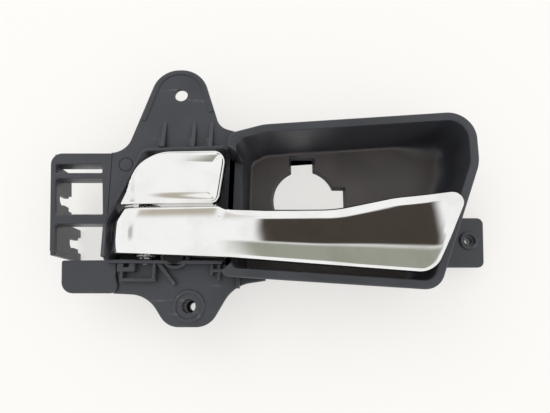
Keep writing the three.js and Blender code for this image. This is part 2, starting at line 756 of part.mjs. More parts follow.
place(pivot, "handle_cover", leverCap(HANDLE_OUTLINE, HANDLE_LINE, HANDLE), "chrome");
place(pivot, "handle_back", leverBack(HANDLE_OUTLINE, HANDLE_LINE, HANDLE), "carrier");
place(pivot, "handle_hub", handleHub(), "carrier");
place(pivot, "handle_bush_1", bush(HANDLE.hubFrom, -1), "acetal");
place(pivot, "handle_bush_2", bush(HANDLE.hubTo - BUSH.length, 1), "acetal");
HANDLE_SCREWS.forEach(([x, y], i) => {
  place(pivot, `handle_cover_screw_${i + 1}`, coverScrew(x, y, HANDLE_LINE, HANDLE), "steel");
});

place(pivot, "lock_cover", leverCap(LOCK_OUTLINE, LOCK_LINE, LOCK), "chrome");
place(pivot, "lock_back", leverBack(LOCK_OUTLINE, LOCK_LINE, LOCK), "carrier");
place(pivot, "lock_hub", lockHub(), "carrier");
place(pivot, "lock_bush_1", bush(LOCK.hubFrom, -1), "acetal");
place(pivot, "lock_bush_2", bush(LOCK.hubTo - BUSH.length, 1), "acetal");
LOCK_SCREWS.forEach(([x, y], i) => {
  place(pivot, `lock_cover_screw_${i + 1}`, coverScrew(x, y, LOCK_LINE, LOCK), "steel");
});

export default part;
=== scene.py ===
"""Interior car door handle: a black moulded housing with a finger bowl, a chrome pull lever and a
chrome lock lever, seen from the front on a pale table.

Lengths are millimetres in the sizes and metres in the meshes.
"""

import logging
import math
from dataclasses import dataclass, field
from enum import Enum
from typing import Callable, Iterable, Sequence

import bmesh
import bpy
import numpy as np
from mathutils import Matrix, Vector
from mathutils.geometry import tessellate_polygon


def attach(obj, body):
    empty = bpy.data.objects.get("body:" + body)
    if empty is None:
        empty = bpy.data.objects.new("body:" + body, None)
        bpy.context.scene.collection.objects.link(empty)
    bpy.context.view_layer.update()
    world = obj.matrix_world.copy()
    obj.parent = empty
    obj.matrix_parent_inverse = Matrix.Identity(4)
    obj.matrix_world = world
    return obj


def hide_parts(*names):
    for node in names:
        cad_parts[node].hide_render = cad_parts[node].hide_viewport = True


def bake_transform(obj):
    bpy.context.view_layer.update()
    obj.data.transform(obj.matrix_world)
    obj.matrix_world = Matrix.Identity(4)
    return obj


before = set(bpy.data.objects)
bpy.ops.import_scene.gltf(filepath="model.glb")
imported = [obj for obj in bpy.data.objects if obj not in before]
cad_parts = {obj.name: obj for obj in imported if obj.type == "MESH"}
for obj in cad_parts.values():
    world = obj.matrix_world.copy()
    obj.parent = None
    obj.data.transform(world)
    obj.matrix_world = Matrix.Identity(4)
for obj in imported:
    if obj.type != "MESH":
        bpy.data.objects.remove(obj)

logging.basicConfig(level=logging.INFO, format="%(message)s")
log = logging.getLogger("door_handle")

MM = 0.001
CENTRE_SHIFT = np.array([0.55, -0.05, 0.0])  # from the drawing's origin to the frame's origin
SMOOTH_ANGLE = math.radians(38)
BEVELLED_ANGLE = math.radians(32)  # copied edges sharper than this are rounded
WELD = 2e-6  # metres within which points become one
Corner = tuple[float, float, float]


class Body(Enum):
    """The bodies that pieces ride on."""

    HOUSING = "housing"
    HANDLE = "handle"
    LOCK = "lock"


class Slot(Enum):
    """The material slots of the record."""

    HOUSING = "housing_plastic"
    CARRIER = "carrier_plastic"
    CHROME = "chrome_plate"
    STEEL = "steel"
    ACETAL = "acetal"
    RUBBER = "rubber"


# ------------------------------------------------------------------------------- loops


def unit(vectors: np.ndarray) -> np.ndarray:
    """Scales vectors to length one.

    Args:
        vectors: Any array whose last axis holds the components.

    Returns:
        The array of unit vectors.
    """
    return vectors / np.maximum(np.linalg.norm(vectors, axis=-1, keepdims=True), 1e-12)


def ramp(value: np.ndarray, start: float, end: float) -> np.ndarray:
    """A straight ramp from zero at one value to one at another, level outside them.

    Args:
        value: The values.
        start: Value that gives zero.
        end: Value that gives one.

    Returns:
        The shares.
    """
    return np.clip((value - start) / (end - start), 0, 1)


def smooth(share: np.ndarray) -> np.ndarray:
    """Rounds off a ramp at both ends: 3 s² - 2 s³.

    Args:
        share: Shares from zero to one.

    Returns:
        The rounded shares.
    """
    return share * share * (3 - 2 * share)


@dataclass(frozen=True)
class CornerLoop:
    """A closed anticlockwise outline, given by its corners and their radii in millimetres.

    Attributes:
        corners: x, y and radius of each corner.
        spacing: Distance between points along the straight edges.
        arc_step: Turn between points along a rounded corner, in degrees.
        least_radius: The smallest radius of a convex corner once the outline is inset.
    """

    corners: tuple[Corner, ...]
    spacing: float = 4.0
    arc_step: float = 7.5
    least_radius: float = 0.15

    def _inset_corners(self, distance: float) -> tuple[np.ndarray, np.ndarray, np.ndarray]:
        """Moves every edge inwards and meets neighbouring edges again.

        Args:
            distance: How far the edges move; a negative distance grows the outline.

        Returns:
            The corner points, the signed turn at each corner and the corner radii.
        """
        data = np.array(self.corners, dtype=float)
        start, radius = data[:, :2], data[:, 2]
        ahead = unit(np.roll(start, -1, axis=0) - start)
        back = np.roll(ahead, 1, axis=0)
        normal = np.stack([-ahead[:, 1], ahead[:, 0]], axis=1)
        turn = back[:, 0] * ahead[:, 1] - back[:, 1] * ahead[:, 0]
        cosine = np.clip((back * ahead).sum(axis=1), -1, 1)
        mitre = normal + np.roll(normal, 1, axis=0)
        points = start + distance * mitre / (1 + cosine)[:, None]
        convex = np.maximum(radius - distance, np.minimum(radius, self.least_radius))
        grown = np.maximum(radius + distance, 0)
        radii = np.where(radius == 0, 0, np.where(turn > 0, convex, grown))
        return points, np.arctan2(turn, cosine), radii

    def points(self, distance: float = 0.0) -> np.ndarray:
        """Places the outline's points: arcs tangent to both edges, and even steps between them.

        Every inset of one outline has the same number of points, in the same order.

        Args:
            distance: How far the outline is inset.

        Returns:
            An n by 2 array of points.
        """
        corners, turns, radii = self._inset_corners(distance)
        base = np.array(self.corners, dtype=float)[:, :2]
        edge_lengths = np.linalg.norm(np.roll(base, -1, axis=0) - base, axis=1)
        ahead = unit(np.roll(corners, -1, axis=0) - corners)
        back = np.roll(ahead, 1, axis=0)
        reach = radii * np.abs(np.tan(turns / 2))
        enter = corners - back * reach[:, None]
        leave = corners + ahead * reach[:, None]
        pieces = []
        for i, turn in enumerate(turns):
            side = np.sign(turn)
            if self.corners[i][2] > 0:
                steps = max(2, math.ceil(abs(math.degrees(turn)) / self.arc_step))
                angle = np.linspace(0, turn, steps + 1)[:, None]
                left = np.array([-back[i, 1], back[i, 0]]) * side
                centre = enter[i] + left * radii[i]
                arc = centre + radii[i] * (np.sin(np.abs(angle)) * back[i] - np.cos(angle) * left)
                pieces.append(arc)
            else:
                pieces.append(corners[i : i + 1])
            count = max(1, math.ceil(edge_lengths[i] / self.spacing))
            share = np.linspace(0, 1, count + 1)[1:-1, None]
            follow = enter[(i + 1) % len(turns)]
            pieces.append(leave[i] + (follow - leave[i]) * share)
        return np.concatenate(pieces)


# ------------------------------------------------------------------------------- meshes


@dataclass
class Shape:
    """Points in millimetres and faces, gathered before they become an object.

    Attributes:
        points: An n by 3 array.
        faces: Lists of point numbers, one for each face.
    """

    points: np.ndarray = field(default_factory=lambda: np.zeros((0, 3)))
    faces: list[tuple[int, ...]] = field(default_factory=list)

    def add(self, other: "Shape") -> "Shape":
        """Adds another shape's points and faces.

        Args:
            other: The shape to take in.

        Returns:
            This shape.
        """
        offset = len(self.points)
        self.points = np.concatenate([self.points, other.points])
        self.faces += [tuple(i + offset for i in face) for face in other.faces]
        return self

    def moved(self, x: float = 0.0, y: float = 0.0, z: float = 0.0) -> "Shape":
        """Copies the shape to another place.

        Args:
            x: Shift along X.
            y: Shift along Y.
            z: Shift along Z.

        Returns:
            The moved copy.
        """
        return Shape(self.points + np.array([x, y, z]), list(self.faces))

    def mapped(self, matrix: Sequence[Sequence[float]]) -> "Shape":
        """Copies the shape through a three by three matrix.

        Args:
            matrix: Rows of the matrix.

        Returns:
            The mapped copy.
        """
        return Shape(self.points @ np.array(matrix, dtype=float).T, list(self.faces))


def gathered(shapes: Iterable[Shape]) -> Shape:
    """Adds shapes into one.

    Args:
        shapes: The shapes.

    Returns:
        The whole.
    """
    whole = Shape()
    for shape in shapes:
        whole.add(shape)
    return whole


def grid_faces(rows: int, columns: int, close_columns: bool, first: int = 0) -> list[tuple[int, ...]]:
    """Numbers the quads of a grid of points.

    Args:
        rows: Number of rows.
        columns: Number of points in a row.
        close_columns: Whether the last point of a row joins the first.
        first: Number of the grid's first point.

    Returns:
        The quads.
    """
    index = np.arange(rows * columns).reshape(rows, columns) + first
    if close_columns:
        index = np.concatenate([index, index[:, :1]], axis=1)
    quads = np.stack([index[:-1, :-1], index[:-1, 1:], index[1:, 1:], index[1:, :-1]], axis=-1)
    return [tuple(quad) for quad in quads.reshape(-1, 4).tolist()]


def rounded_section(low: float, high: float, radius: float, steps: int = 3) -> np.ndarray:
    """The edge of a plate: quarter circles of one radius at both faces, and a support line inside
    each face that keeps the face's shading flat.

    Args:
        low: Height of the lower face.
        high: Height of the upper face.
        radius: Radius of both edges.
        steps: Points along each quarter circle.

    Returns:
        An array of inset and height, from the lower face to the upper face.
    """
    angle = np.linspace(0, math.pi / 2, steps + 1)
    lower = np.stack([radius * (1 - np.sin(angle)), low + radius * (1 - np.cos(angle))], axis=1)
    upper = np.stack([lower[::-1, 0], low + high - lower[::-1, 1]], axis=1)
    support = radius + 0.25
    return np.concatenate([[[support, low]], lower, upper, [[support, high]]])


def plate(
    outer: CornerLoop,
    low: float,
    high: float,
    radius: float = 0.4,
    holes: Iterable[CornerLoop] = (),
) -> Shape:
    """A flat plate with rounded edges and holes: each outline is carried through the rounded
    section, inwards for the outer outline and outwards for a hole, and the faces are filled.

    Args:
        outer: The outline.
        low: Height of the lower face.
        high: Height of the upper face.
        radius: Radius of the edges.
        holes: Outlines of the holes.

    Returns:
        The closed shape.
    """
    section = rounded_section(low, high, radius)
    shape = Shape()
    ends = []
    for loop, sign in [(outer, 1.0), *((hole, -1.0) for hole in holes)]:
        rings = [loop.points(sign * inset) for inset, _ in section]
        count = len(rings[0])
        heights = np.repeat(section[:, 1], count)
        first = len(shape.points)
        points = np.column_stack([np.concatenate(rings), heights])
        faces = grid_faces(len(section), count, True)
        shape.add(Shape(points, faces if sign > 0 else [face[::-1] for face in faces]))
        ends.append((first, first + count * (len(section) - 1), count))
    for top in (False, True):
        starts = [(last if top else begin, count) for begin, last, count in ends]
        rings3 = [[Vector(p) for p in shape.points[s : s + n]] for s, n in starts]
        numbers = np.concatenate([np.arange(s, s + n) for s, n in starts])
        for triangle in tessellate_polygon(rings3):
            face = tuple(int(numbers[i]) for i in triangle)
            a, b, c = shape.points[list(face)]
            upward = np.cross(b - a, c - a)[2] > 0
            shape.faces.append(face if upward == top else face[::-1])
    return shape


def circle_loop(x: float, y: float, radius: float) -> CornerLoop:
    """A round outline: a square whose corner radius is half its side.

    Args:
        x: Centre along X.
        y: Centre along Y.
        radius: Radius.

    Returns:
        The outline.
    """
    r = radius * 0.9999
    corners = tuple((x + sx * radius, y + sy * radius, r) for sx, sy in ((-1, -1), (1, -1), (1, 1), (-1, 1)))
    return CornerLoop(corners, spacing=100, least_radius=0.1)


def tube(path: np.ndarray, radius: float, reference: Sequence[float], sides: int = 12) -> Shape:
    """A round section carried along a path: at each station the circle lies across the path's
    direction, and its first axis is the cross product of the direction and the reference.

    Args:
        path: Stations, n by 3.
        radius: Radius of the section.
        reference: A direction that the path never follows.
        sides: Points round the section.

    Returns:
        The closed shape, with domed ends.
    """
    direction = unit(np.gradient(path, axis=0))
    side = unit(np.cross(direction, np.array(reference, dtype=float)))
    other = np.cross(direction, side)
    dome = np.array([0.0, 0.5, 0.87, 1.0])
    scale = np.concatenate([dome, np.ones(len(path) - 2), dome[::-1]])
    reach = np.concatenate([dome - 1, np.zeros(len(path) - 2), 1 - dome[::-1]]) * radius
    rows = np.concatenate([[0] * 4, np.arange(1, len(path) - 1), [len(path) - 1] * 4]).astype(int)
    angle = np.arange(sides) * 2 * math.pi / sides
    cosine, sine = np.cos(angle)[None, :, None], np.sin(angle)[None, :, None]
    ring = side[rows, None] * cosine + other[rows, None] * sine
    centre = path[rows] + direction[rows] * reach[:, None]
    points = centre[:, None] + ring * (radius * scale)[:, None, None]
    return Shape(points.reshape(-1, 3), grid_faces(len(rows), sides, True))


def make_object(name: str, shape: Shape, smooth_angle: float = SMOOTH_ANGLE) -> bpy.types.Object:
    """Makes a mesh object from a shape, welds it, turns its faces outwards and shades it smooth
    up to an angle.

    Args:
        name: Name of the object.
        shape: Points and faces in the drawing's millimetres.
        smooth_angle: Edges sharper than this stay sharp.

    Returns:
        The object.
    """
    mesh = bpy.data.meshes.new(name)
    mesh.from_pydata(((shape.points + CENTRE_SHIFT) * MM).tolist(), [], shape.faces)
    return finish_mesh(name, mesh, smooth_angle)


def finish_mesh(name: str, mesh: bpy.types.Mesh, smooth_angle: float) -> bpy.types.Object:
    """Welds a mesh, turns its faces outwards, sets its shading and links an object for it.

    Args:
        name: Name of the object.
        mesh: The mesh.
        smooth_angle: Edges sharper than this stay sharp.

    Returns:
        The object.
    """
    work = bmesh.new()
    work.from_mesh(mesh)
    bmesh.ops.remove_doubles(work, verts=work.verts, dist=WELD)
    bmesh.ops.dissolve_degenerate(work, edges=work.edges, dist=WELD / 2)
    bmesh.ops.recalc_face_normals(work, faces=work.faces)
    work.to_mesh(mesh)
    work.free()
    mesh.polygons.foreach_set("use_smooth", np.ones(len(mesh.polygons), dtype=bool))
    mesh.set_sharp_from_angle(angle=smooth_angle)
    mesh.update()
    piece = bpy.data.objects.new(name, mesh)
    bpy.context.scene.collection.objects.link(piece)
    log.info("%s: %d faces", name, len(mesh.polygons))
    return piece


def moulded_copy(node: str, name: str, edge: float) -> bpy.types.Object:
    """A copy of a frame node whose edges are rounded.

    Args:
        node: The node to copy.
        name: Name of the new object.
        edge: Width of the rounded edge in millimetres.

    Returns:
        The object.
    """
    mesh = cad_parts[node].data.copy()
    mesh.materials.clear()
    work = bmesh.new()
    work.from_mesh(mesh)
    bmesh.ops.remove_doubles(work, verts=work.verts, dist=WELD)
    sharp = [e for e in work.edges if e.is_manifold and e.calc_face_angle(0) > BEVELLED_ANGLE]
    bmesh.ops.bevel(
        work, geom=sharp, offset=edge * MM, offset_type="OFFSET", segments=2, profile=0.5,
        affect="EDGES", clamp_overlap=True, miter_outer="ARC",
    )
    work.to_mesh(mesh)
    work.free()
    return finish_mesh(name, mesh, SMOOTH_ANGLE)


# ------------------------------------------------------------------------------- node groups


def new_group(
    name: str, inputs: Sequence[tuple[str, str, object]], outputs: Sequence[tuple[str, str]]
) -> tuple[bpy.types.NodeTree, bpy.types.Node, bpy.types.Node]:
    """Starts a shader node group.

    Args:
        name: Name of the group.
        inputs: Name, socket type and default of each input.
        outputs: Name and socket type of each output.

    Returns:
        The group, its input node and its output node.
    """
    tree = bpy.data.node_groups.new(name, "ShaderNodeTree")
    for label, kind, default in inputs:
        socket = tree.interface.new_socket(name=label, in_out="INPUT", socket_type=kind)
        if default is not None:
            socket.default_value = default
    for label, kind in outputs:
        tree.interface.new_socket(name=label, in_out="OUTPUT", socket_type=kind)
    return tree, tree.nodes.new("NodeGroupInput"), tree.nodes.new("NodeGroupOutput")


def math_node(tree: bpy.types.NodeTree, operation: str, a: object, b: object) -> bpy.types.NodeSocket:
    """Adds a math node.

    Args:
        tree: The node tree.
        operation: The operation.
        a: A socket or a number.
        b: A socket or a number.

    Returns:
        The result socket.
    """
    node = tree.nodes.new("ShaderNodeMath")
    node.operation = operation
    for socket, value in zip(node.inputs, (a, b)):
        if isinstance(value, bpy.types.NodeSocket):
            tree.links.new(value, socket)
        else:
            socket.default_value = value
    return node.outputs[0]


def noise_node(
    tree: bpy.types.NodeTree,
    vector: bpy.types.NodeSocket,
    scale: object,
    detail: float,
    roughness: float = 0.5,
) -> bpy.types.NodeSocket:
    """Adds a noise texture.

    Args:
        tree: The node tree.
        vector: The coordinates.
        scale: A socket or a number.
        detail: Octaves of detail.
        roughness: Weight of the finer octaves.

    Returns:
        The noise value.
    """
    node = tree.nodes.new("ShaderNodeTexNoise")
    tree.links.new(vector, node.inputs["Vector"])
    if isinstance(scale, bpy.types.NodeSocket):
        tree.links.new(scale, node.inputs["Scale"])
    else:
        node.inputs["Scale"].default_value = scale
    node.inputs["Detail"].default_value = detail
    node.inputs["Roughness"].default_value = roughness
    return node.outputs[0]


def band_node(
    tree: bpy.types.NodeTree, value: bpy.types.NodeSocket, low: object, high: object
) -> bpy.types.NodeSocket:
    """Maps a value smoothly from zero at one level to one at another.

    Args:
        tree: The node tree.
        value: The value.
        low: Level that gives zero.
        high: Level that gives one.

    Returns:
        The mask.
    """
    node = tree.nodes.new("ShaderNodeMapRange")
    node.interpolation_type = "SMOOTHSTEP"
    tree.links.new(value, node.inputs["Value"])
    for label, level in (("From Min", low), ("From Max", high)):
        if isinstance(level, bpy.types.NodeSocket):
            tree.links.new(level, node.inputs[label])
        else:
            node.inputs[label].default_value = level
    return node.outputs[0]


class Effects:
    """The effects that several finishes share, each a node group made once."""

    def __init__(self) -> None:
        """Makes the groups."""
        self.grain = self._grain()
        self.scuffs = self._scuffs()
        self.edges = self._edges()

    @staticmethod
    def _grain() -> bpy.types.NodeTree:
        """Moulded grain: a fine noise and a coarser one added as one height.

        Returns:
            The group, with inputs Vector, Scale and Mottle, and output Height.
        """
        tree, source, sink = new_group(
            "Moulded Grain",
            [("Vector", "NodeSocketVector", None), ("Scale", "NodeSocketFloat", 2600.0),
             ("Mottle", "NodeSocketFloat", 0.4)],
            [("Height", "NodeSocketFloat")],
        )
        fine = noise_node(tree, source.outputs["Vector"], source.outputs["Scale"], 3.0, 0.6)
        coarse_scale = math_node(tree, "MULTIPLY", source.outputs["Scale"], 0.12)
        coarse = noise_node(tree, source.outputs["Vector"], coarse_scale, 2.0)
        weighted = math_node(tree, "MULTIPLY", coarse, source.outputs["Mottle"])
        tree.links.new(math_node(tree, "ADD", fine, weighted), sink.inputs["Height"])
        return tree

    @staticmethod
    def _scuffs() -> bpy.types.NodeTree:
        """Scuffs and dust: a stretched noise cut to thin marks, inside the patches of a slow one.

        Returns:
            The group, with inputs Vector, Scale and Amount, and output Mask.
        """
        tree, source, sink = new_group(
            "Scuffs And Dust",
            [("Vector", "NodeSocketVector", None), ("Scale", "NodeSocketFloat", 90.0),
             ("Amount", "NodeSocketFloat", 0.5)],
            [("Mask", "NodeSocketFloat")],
        )
        stretch = tree.nodes.new("ShaderNodeVectorMath")
        stretch.operation = "MULTIPLY"
        tree.links.new(source.outputs["Vector"], stretch.inputs[0])
        stretch.inputs[1].default_value = (0.35, 2.2, 1.0)
        marks = noise_node(tree, stretch.outputs[0], source.outputs["Scale"], 8.0, 0.65)
        lines = band_node(tree, marks, 0.60, 0.70)
        slow_scale = math_node(tree, "MULTIPLY", source.outputs["Scale"], 0.35)
        patches = band_node(tree, noise_node(tree, source.outputs["Vector"], slow_scale, 2.0), 0.50, 0.68)
        inside = math_node(tree, "MULTIPLY", lines, patches)
        tree.links.new(math_node(tree, "MULTIPLY", inside, source.outputs["Amount"]), sink.inputs["Mask"])
        return tree

    @staticmethod
    def _edges() -> bpy.types.NodeTree:
        """Edge wear: where the surface is more convex than its surroundings, broken up by noise.

        Returns:
            The group, with inputs Vector, Start and Amount, and output Mask.
        """
        tree, source, sink = new_group(
            "Edge Wear",
            [("Vector", "NodeSocketVector", None), ("Start", "NodeSocketFloat", 0.52),
             ("Amount", "NodeSocketFloat", 0.5)],
            [("Mask", "NodeSocketFloat")],
        )
        shape = tree.nodes.new("ShaderNodeNewGeometry")
        end = math_node(tree, "ADD", source.outputs["Start"], 0.08)
        ridge = band_node(tree, shape.outputs["Pointiness"], source.outputs["Start"], end)
        breakup = band_node(tree, noise_node(tree, source.outputs["Vector"], 260.0, 4.0), 0.35, 0.62)
        worn = math_node(tree, "MULTIPLY", ridge, breakup)
        tree.links.new(math_node(tree, "MULTIPLY", worn, source.outputs["Amount"]), sink.inputs["Mask"])
        return tree


# ------------------------------------------------------------------------------- finishes


class MaterialBuilder:
    """A material with one Principled shader, and the steps that finishes are put together from."""

    def __init__(self, name: str, effects: Effects) -> None:
        """Starts the material.

        Args:
            name: Name of the material.
            effects: The shared node groups.
        """
        self.effects = effects
        self.material = bpy.data.materials.new(name)
        self.material.use_nodes = True
        self.tree = self.material.node_tree
        self.shader = self.tree.nodes["Principled BSDF"]
        self.vector = self.tree.nodes.new("ShaderNodeTexCoord").outputs["Object"]

    def set(self, label: str, value: object) -> None:
        """Sets a constant, or links a socket, to an input of the shader.

        Args:
            label: The input's name.
            value: A constant or a socket.
        """
        socket = self.shader.inputs[label]
        if isinstance(value, bpy.types.NodeSocket):
            self.tree.links.new(value, socket)
        else:
            socket.default_value = value

    def group(self, tree: bpy.types.NodeTree, **values: float) -> bpy.types.NodeSocket:
        """Places a shared effect.

        Args:
            tree: The effect's node group.
            **values: Values for its inputs.

        Returns:
            The effect's output.
        """
        node = self.tree.nodes.new("ShaderNodeGroup")
        node.node_tree = tree
        self.tree.links.new(self.vector, node.inputs["Vector"])
        for label, value in values.items():
            node.inputs[label].default_value = value
        return node.outputs[0]

    def mix(
        self, mask: bpy.types.NodeSocket, a: object, b: object
    ) -> bpy.types.NodeSocket:
        """Mixes two colours by a mask.

        Args:
            mask: The mask.
            a: Colour where the mask is zero.
            b: Colour where the mask is one.

        Returns:
            The mixed colour.
        """
        node = self.tree.nodes.new("ShaderNodeMix")
        node.data_type = "RGBA"
        self.tree.links.new(mask, node.inputs["Factor"])
        for socket, value in ((node.inputs[6], a), (node.inputs[7], b)):
            if isinstance(value, bpy.types.NodeSocket):
                self.tree.links.new(value, socket)
            else:
                socket.default_value = (*value, 1.0)
        return node.outputs[2]

    def spread(self, mask: bpy.types.NodeSocket, low: float, high: float) -> bpy.types.NodeSocket:
        """Spreads a mask over a range of values.

        Args:
            mask: The mask.
            low: Value where the mask is zero.
            high: Value where the mask is one.

        Returns:
            The value.
        """
        scaled = math_node(self.tree, "MULTIPLY", mask, high - low)
        return math_node(self.tree, "ADD", scaled, low)

    def bump(self, height: bpy.types.NodeSocket, strength: float, depth_mm: float) -> None:
        """Puts a height into the shader's normal.

        Args:
            height: The height.
            strength: Strength of the bump.
            depth_mm: Depth of the height's full range, in millimetres.
        """
        node = self.tree.nodes.new("ShaderNodeBump")
        node.inputs["Strength"].default_value = strength
        node.inputs["Distance"].default_value = depth_mm * MM
        self.tree.links.new(height, node.inputs["Height"])
        self.set("Normal", node.outputs["Normal"])


@dataclass(frozen=True)
class PlasticFinish:
    """Black moulded plastic: fine grain, slow changes of gloss, scuffs, pale edges, and a pale layer on the
    bowl's floor that is partly settled dust and partly painted light.

    Attributes:
        name: Name of the material.
        colour: The plastic's colour.
        worn: Colour of scuffs and edges.
        roughness: Lowest and highest roughness.
        grain_depth: Depth of the grain in millimetres.
        scuffs: Amount of scuffs.
        edge: Amount of edge wear.
        specular: Strength of the surface's reflection.
        floor_light_and_dust: Amount of the pale layer on the floor, partly settled dust and partly painted
            light on the bowl's floor.
        floor_light_dust_colour: Colour of that layer of dust and painted light.
        floor_light_dust_levels: Heights in millimetres at which the layer starts, is full, is full last and
            ends; the hole's sloping edge below the start keeps the plain dark colour as painted shade.
    """

    name: str
    colour: tuple[float, float, float]
    worn: tuple[float, float, float] = (0.16, 0.16, 0.17)
    roughness: tuple[float, float] = (0.34, 0.48)
    grain_depth: float = 0.02
    scuffs: float = 0.5
    edge: float = 0.35
    specular: float = 0.5
    floor_light_and_dust: float = 0.0
    floor_light_dust_colour: tuple[float, float, float] = (0.115, 0.094, 0.086)
    floor_light_dust_levels: tuple[float, float, float, float] = (2.2, 2.45, 2.6, 4.2)

    def _floor_lit_and_dusted(
        self, work: MaterialBuilder, colour: bpy.types.NodeSocket, slow: bpy.types.NodeSocket
    ) -> bpy.types.NodeSocket:
        """Lays a pale layer over a colour, between the levels, more in some patches than in others: partly
        settled dust, partly painted light on the bowl's floor, with the hole's edge below the levels left
        dark as painted shade.

        Args:
            work: The material.
            colour: The colour without the layer.
            slow: Mask of the patches.

        Returns:
            The colour with the layer of dust and painted light.
        """
        parts = work.tree.nodes.new("ShaderNodeSeparateXYZ")
        work.tree.links.new(work.vector, parts.inputs[0])
        start, full, last, end = (level * MM for level in self.floor_light_dust_levels)
        # painted light on the floor: the pale layer is full on the floor's face and fades out up the walls;
        # the hole's edge below it is left dark as painted shade
        below = band_node(work.tree, parts.outputs[2], end, last)
        lowest = math_node(work.tree, "MULTIPLY", below, band_node(work.tree, parts.outputs[2], start, full))
        patchy = work.spread(slow, 0.6 * self.floor_light_and_dust, self.floor_light_and_dust)
        return work.mix(math_node(work.tree, "MULTIPLY", lowest, patchy), colour, self.floor_light_dust_colour)

    def build(self, effects: Effects) -> bpy.types.Material:
        """Makes the material.

        Args:
            effects: The shared node groups.

        Returns:
            The material.
        """
        work = MaterialBuilder(self.name, effects)
        slow = band_node(work.tree, noise_node(work.tree, work.vector, 38.0, 3.0), 0.3, 0.7)
        scuffs = work.group(effects.scuffs, Scale=90.0, Amount=self.scuffs)
        edges = work.group(effects.edges, Start=0.53, Amount=self.edge)
        darker = tuple(c * 0.78 for c in self.colour)
        base = work.mix(slow, darker, self.colour)
        marked = work.mix(scuffs, base, self.worn)
        # partly dust, partly painted light: a pale layer that lifts the bowl's floor where light falls on it
        if self.floor_light_and_dust > 0:
            marked = self._floor_lit_and_dusted(work, marked, slow)
        work.set("Base Color", work.mix(edges, marked, self.worn))
        gloss = work.spread(slow, *self.roughness)
        dulled = math_node(work.tree, "MULTIPLY", scuffs, 0.2)
        work.set("Roughness", math_node(work.tree, "ADD", gloss, dulled))
        work.set("Specular IOR Level", self.specular)
        work.bump(work.group(effects.grain, Scale=2600.0, Mottle=0.4), 0.6, self.grain_depth)
        return work.material


@dataclass(frozen=True)
class ChromeFinish:
    """Bright chrome plating on plastic: near mirror, with faint handling marks in its gloss and the
    very slight unevenness of a moulded surface.

    Attributes:
        name: Name of the material.
        colour: Colour of the metal.
        stain: Colour in the handling marks.
    """

    name: str = "chrome plate"
    colour: tuple[float, float, float] = (0.93, 0.925, 0.915)
    stain: tuple[float, float, float] = (0.84, 0.83, 0.80)

    def build(self, effects: Effects) -> bpy.types.Material:
        """Makes the material.

        Args:
            effects: The shared node groups.

        Returns:
            The material.
        """
        work = MaterialBuilder(self.name, effects)
        smear = band_node(work.tree, noise_node(work.tree, work.vector, 55.0, 5.0, 0.6), 0.42, 0.72)
        hair = work.group(effects.scuffs, Scale=160.0, Amount=0.5)
        work.set("Base Color", work.mix(smear, self.colour, self.stain))
        work.set("Metallic", 1.0)
        gloss = work.spread(smear, 0.025, 0.06)
        dulled = math_node(work.tree, "MULTIPLY", hair, 0.06)
        work.set("Roughness", math_node(work.tree, "ADD", gloss, dulled))
        work.bump(noise_node(work.tree, work.vector, 46.0, 1.0), 0.25, 0.05)
        return work.material


@dataclass(frozen=True)
class SteelFinish:
    """Zinc-plated steel: drawn marks in the gloss, and dull spots.

    Attributes:
        name: Name of the material.
        colour: Colour of the metal.
        dull: Colour of the dull spots.
    """

    name: str = "zinc plated steel"
    colour: tuple[float, float, float] = (0.62, 0.62, 0.63)
    dull: tuple[float, float, float] = (0.42, 0.41, 0.39)

    def build(self, effects: Effects) -> bpy.types.Material:
        """Makes the material.

        Args:
            effects: The shared node groups.

        Returns:
            The material.
        """
        work = MaterialBuilder(self.name, effects)
        spots = band_node(work.tree, noise_node(work.tree, work.vector, 420.0, 4.0), 0.45, 0.7)
        work.set("Base Color", work.mix(spots, self.colour, self.dull))
        work.set("Metallic", 1.0)
        work.set("Roughness", work.spread(spots, 0.24, 0.42))
        work.bump(work.group(effects.grain, Scale=1800.0, Mottle=0.8), 0.4, 0.01)
        return work.material


FINISHES: dict[Slot, Callable[[Effects], bpy.types.Material]] = {
    # the housing's floor layer is partly dust and partly painted light on the bowl's floor
    Slot.HOUSING: PlasticFinish("housing plastic", (0.037, 0.039, 0.047), specular=0.62, floor_light_and_dust=0.8).build,
    Slot.CARRIER: PlasticFinish("carrier plastic", (0.016, 0.016, 0.017), scuffs=0.2).build,
    Slot.CHROME: ChromeFinish().build,
    Slot.STEEL: SteelFinish().build,
    Slot.ACETAL: PlasticFinish(
        "acetal", (0.62, 0.60, 0.54), worn=(0.45, 0.43, 0.38), scuffs=0.2, edge=0.0
    ).build,
    Slot.RUBBER: PlasticFinish(
        "rubber", (0.012, 0.012, 0.012), roughness=(0.75, 0.9), scuffs=0.3, edge=0.1, specular=0.25
    ).build,
}


class Workshop:
    """Dresses pieces with the finishes and hands them to the frame."""

    def __init__(self) -> None:
        """Builds every finish once."""
        effects = Effects()
        self.materials = {slot: build(effects) for slot, build in FINISHES.items()}

    def dress(self, piece: bpy.types.Object, body: Body, slot: Slot, replaces: Sequence[str] = ()) -> None:
        """Gives a piece its finish, its body and the nodes it stands for.

        Args:
            piece: The object.
            body: The body it rides on.
            slot: Its material slot.
            replaces: The nodes it stands for.
        """
        piece.data.materials.append(self.materials[slot])
        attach(piece, body.value)
        if replaces:
            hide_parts(*replaces)


# ------------------------------------------------------------------------------- housing

RIM: tuple[Corner, ...] = (
    (-23.4, -39.7, 3), (72.4, -45.8, 9), (95.2, 12.3, 20), (95.4, 38.5, 13), (-5, 31.6, 25), (-21.8, 27, 5),
)


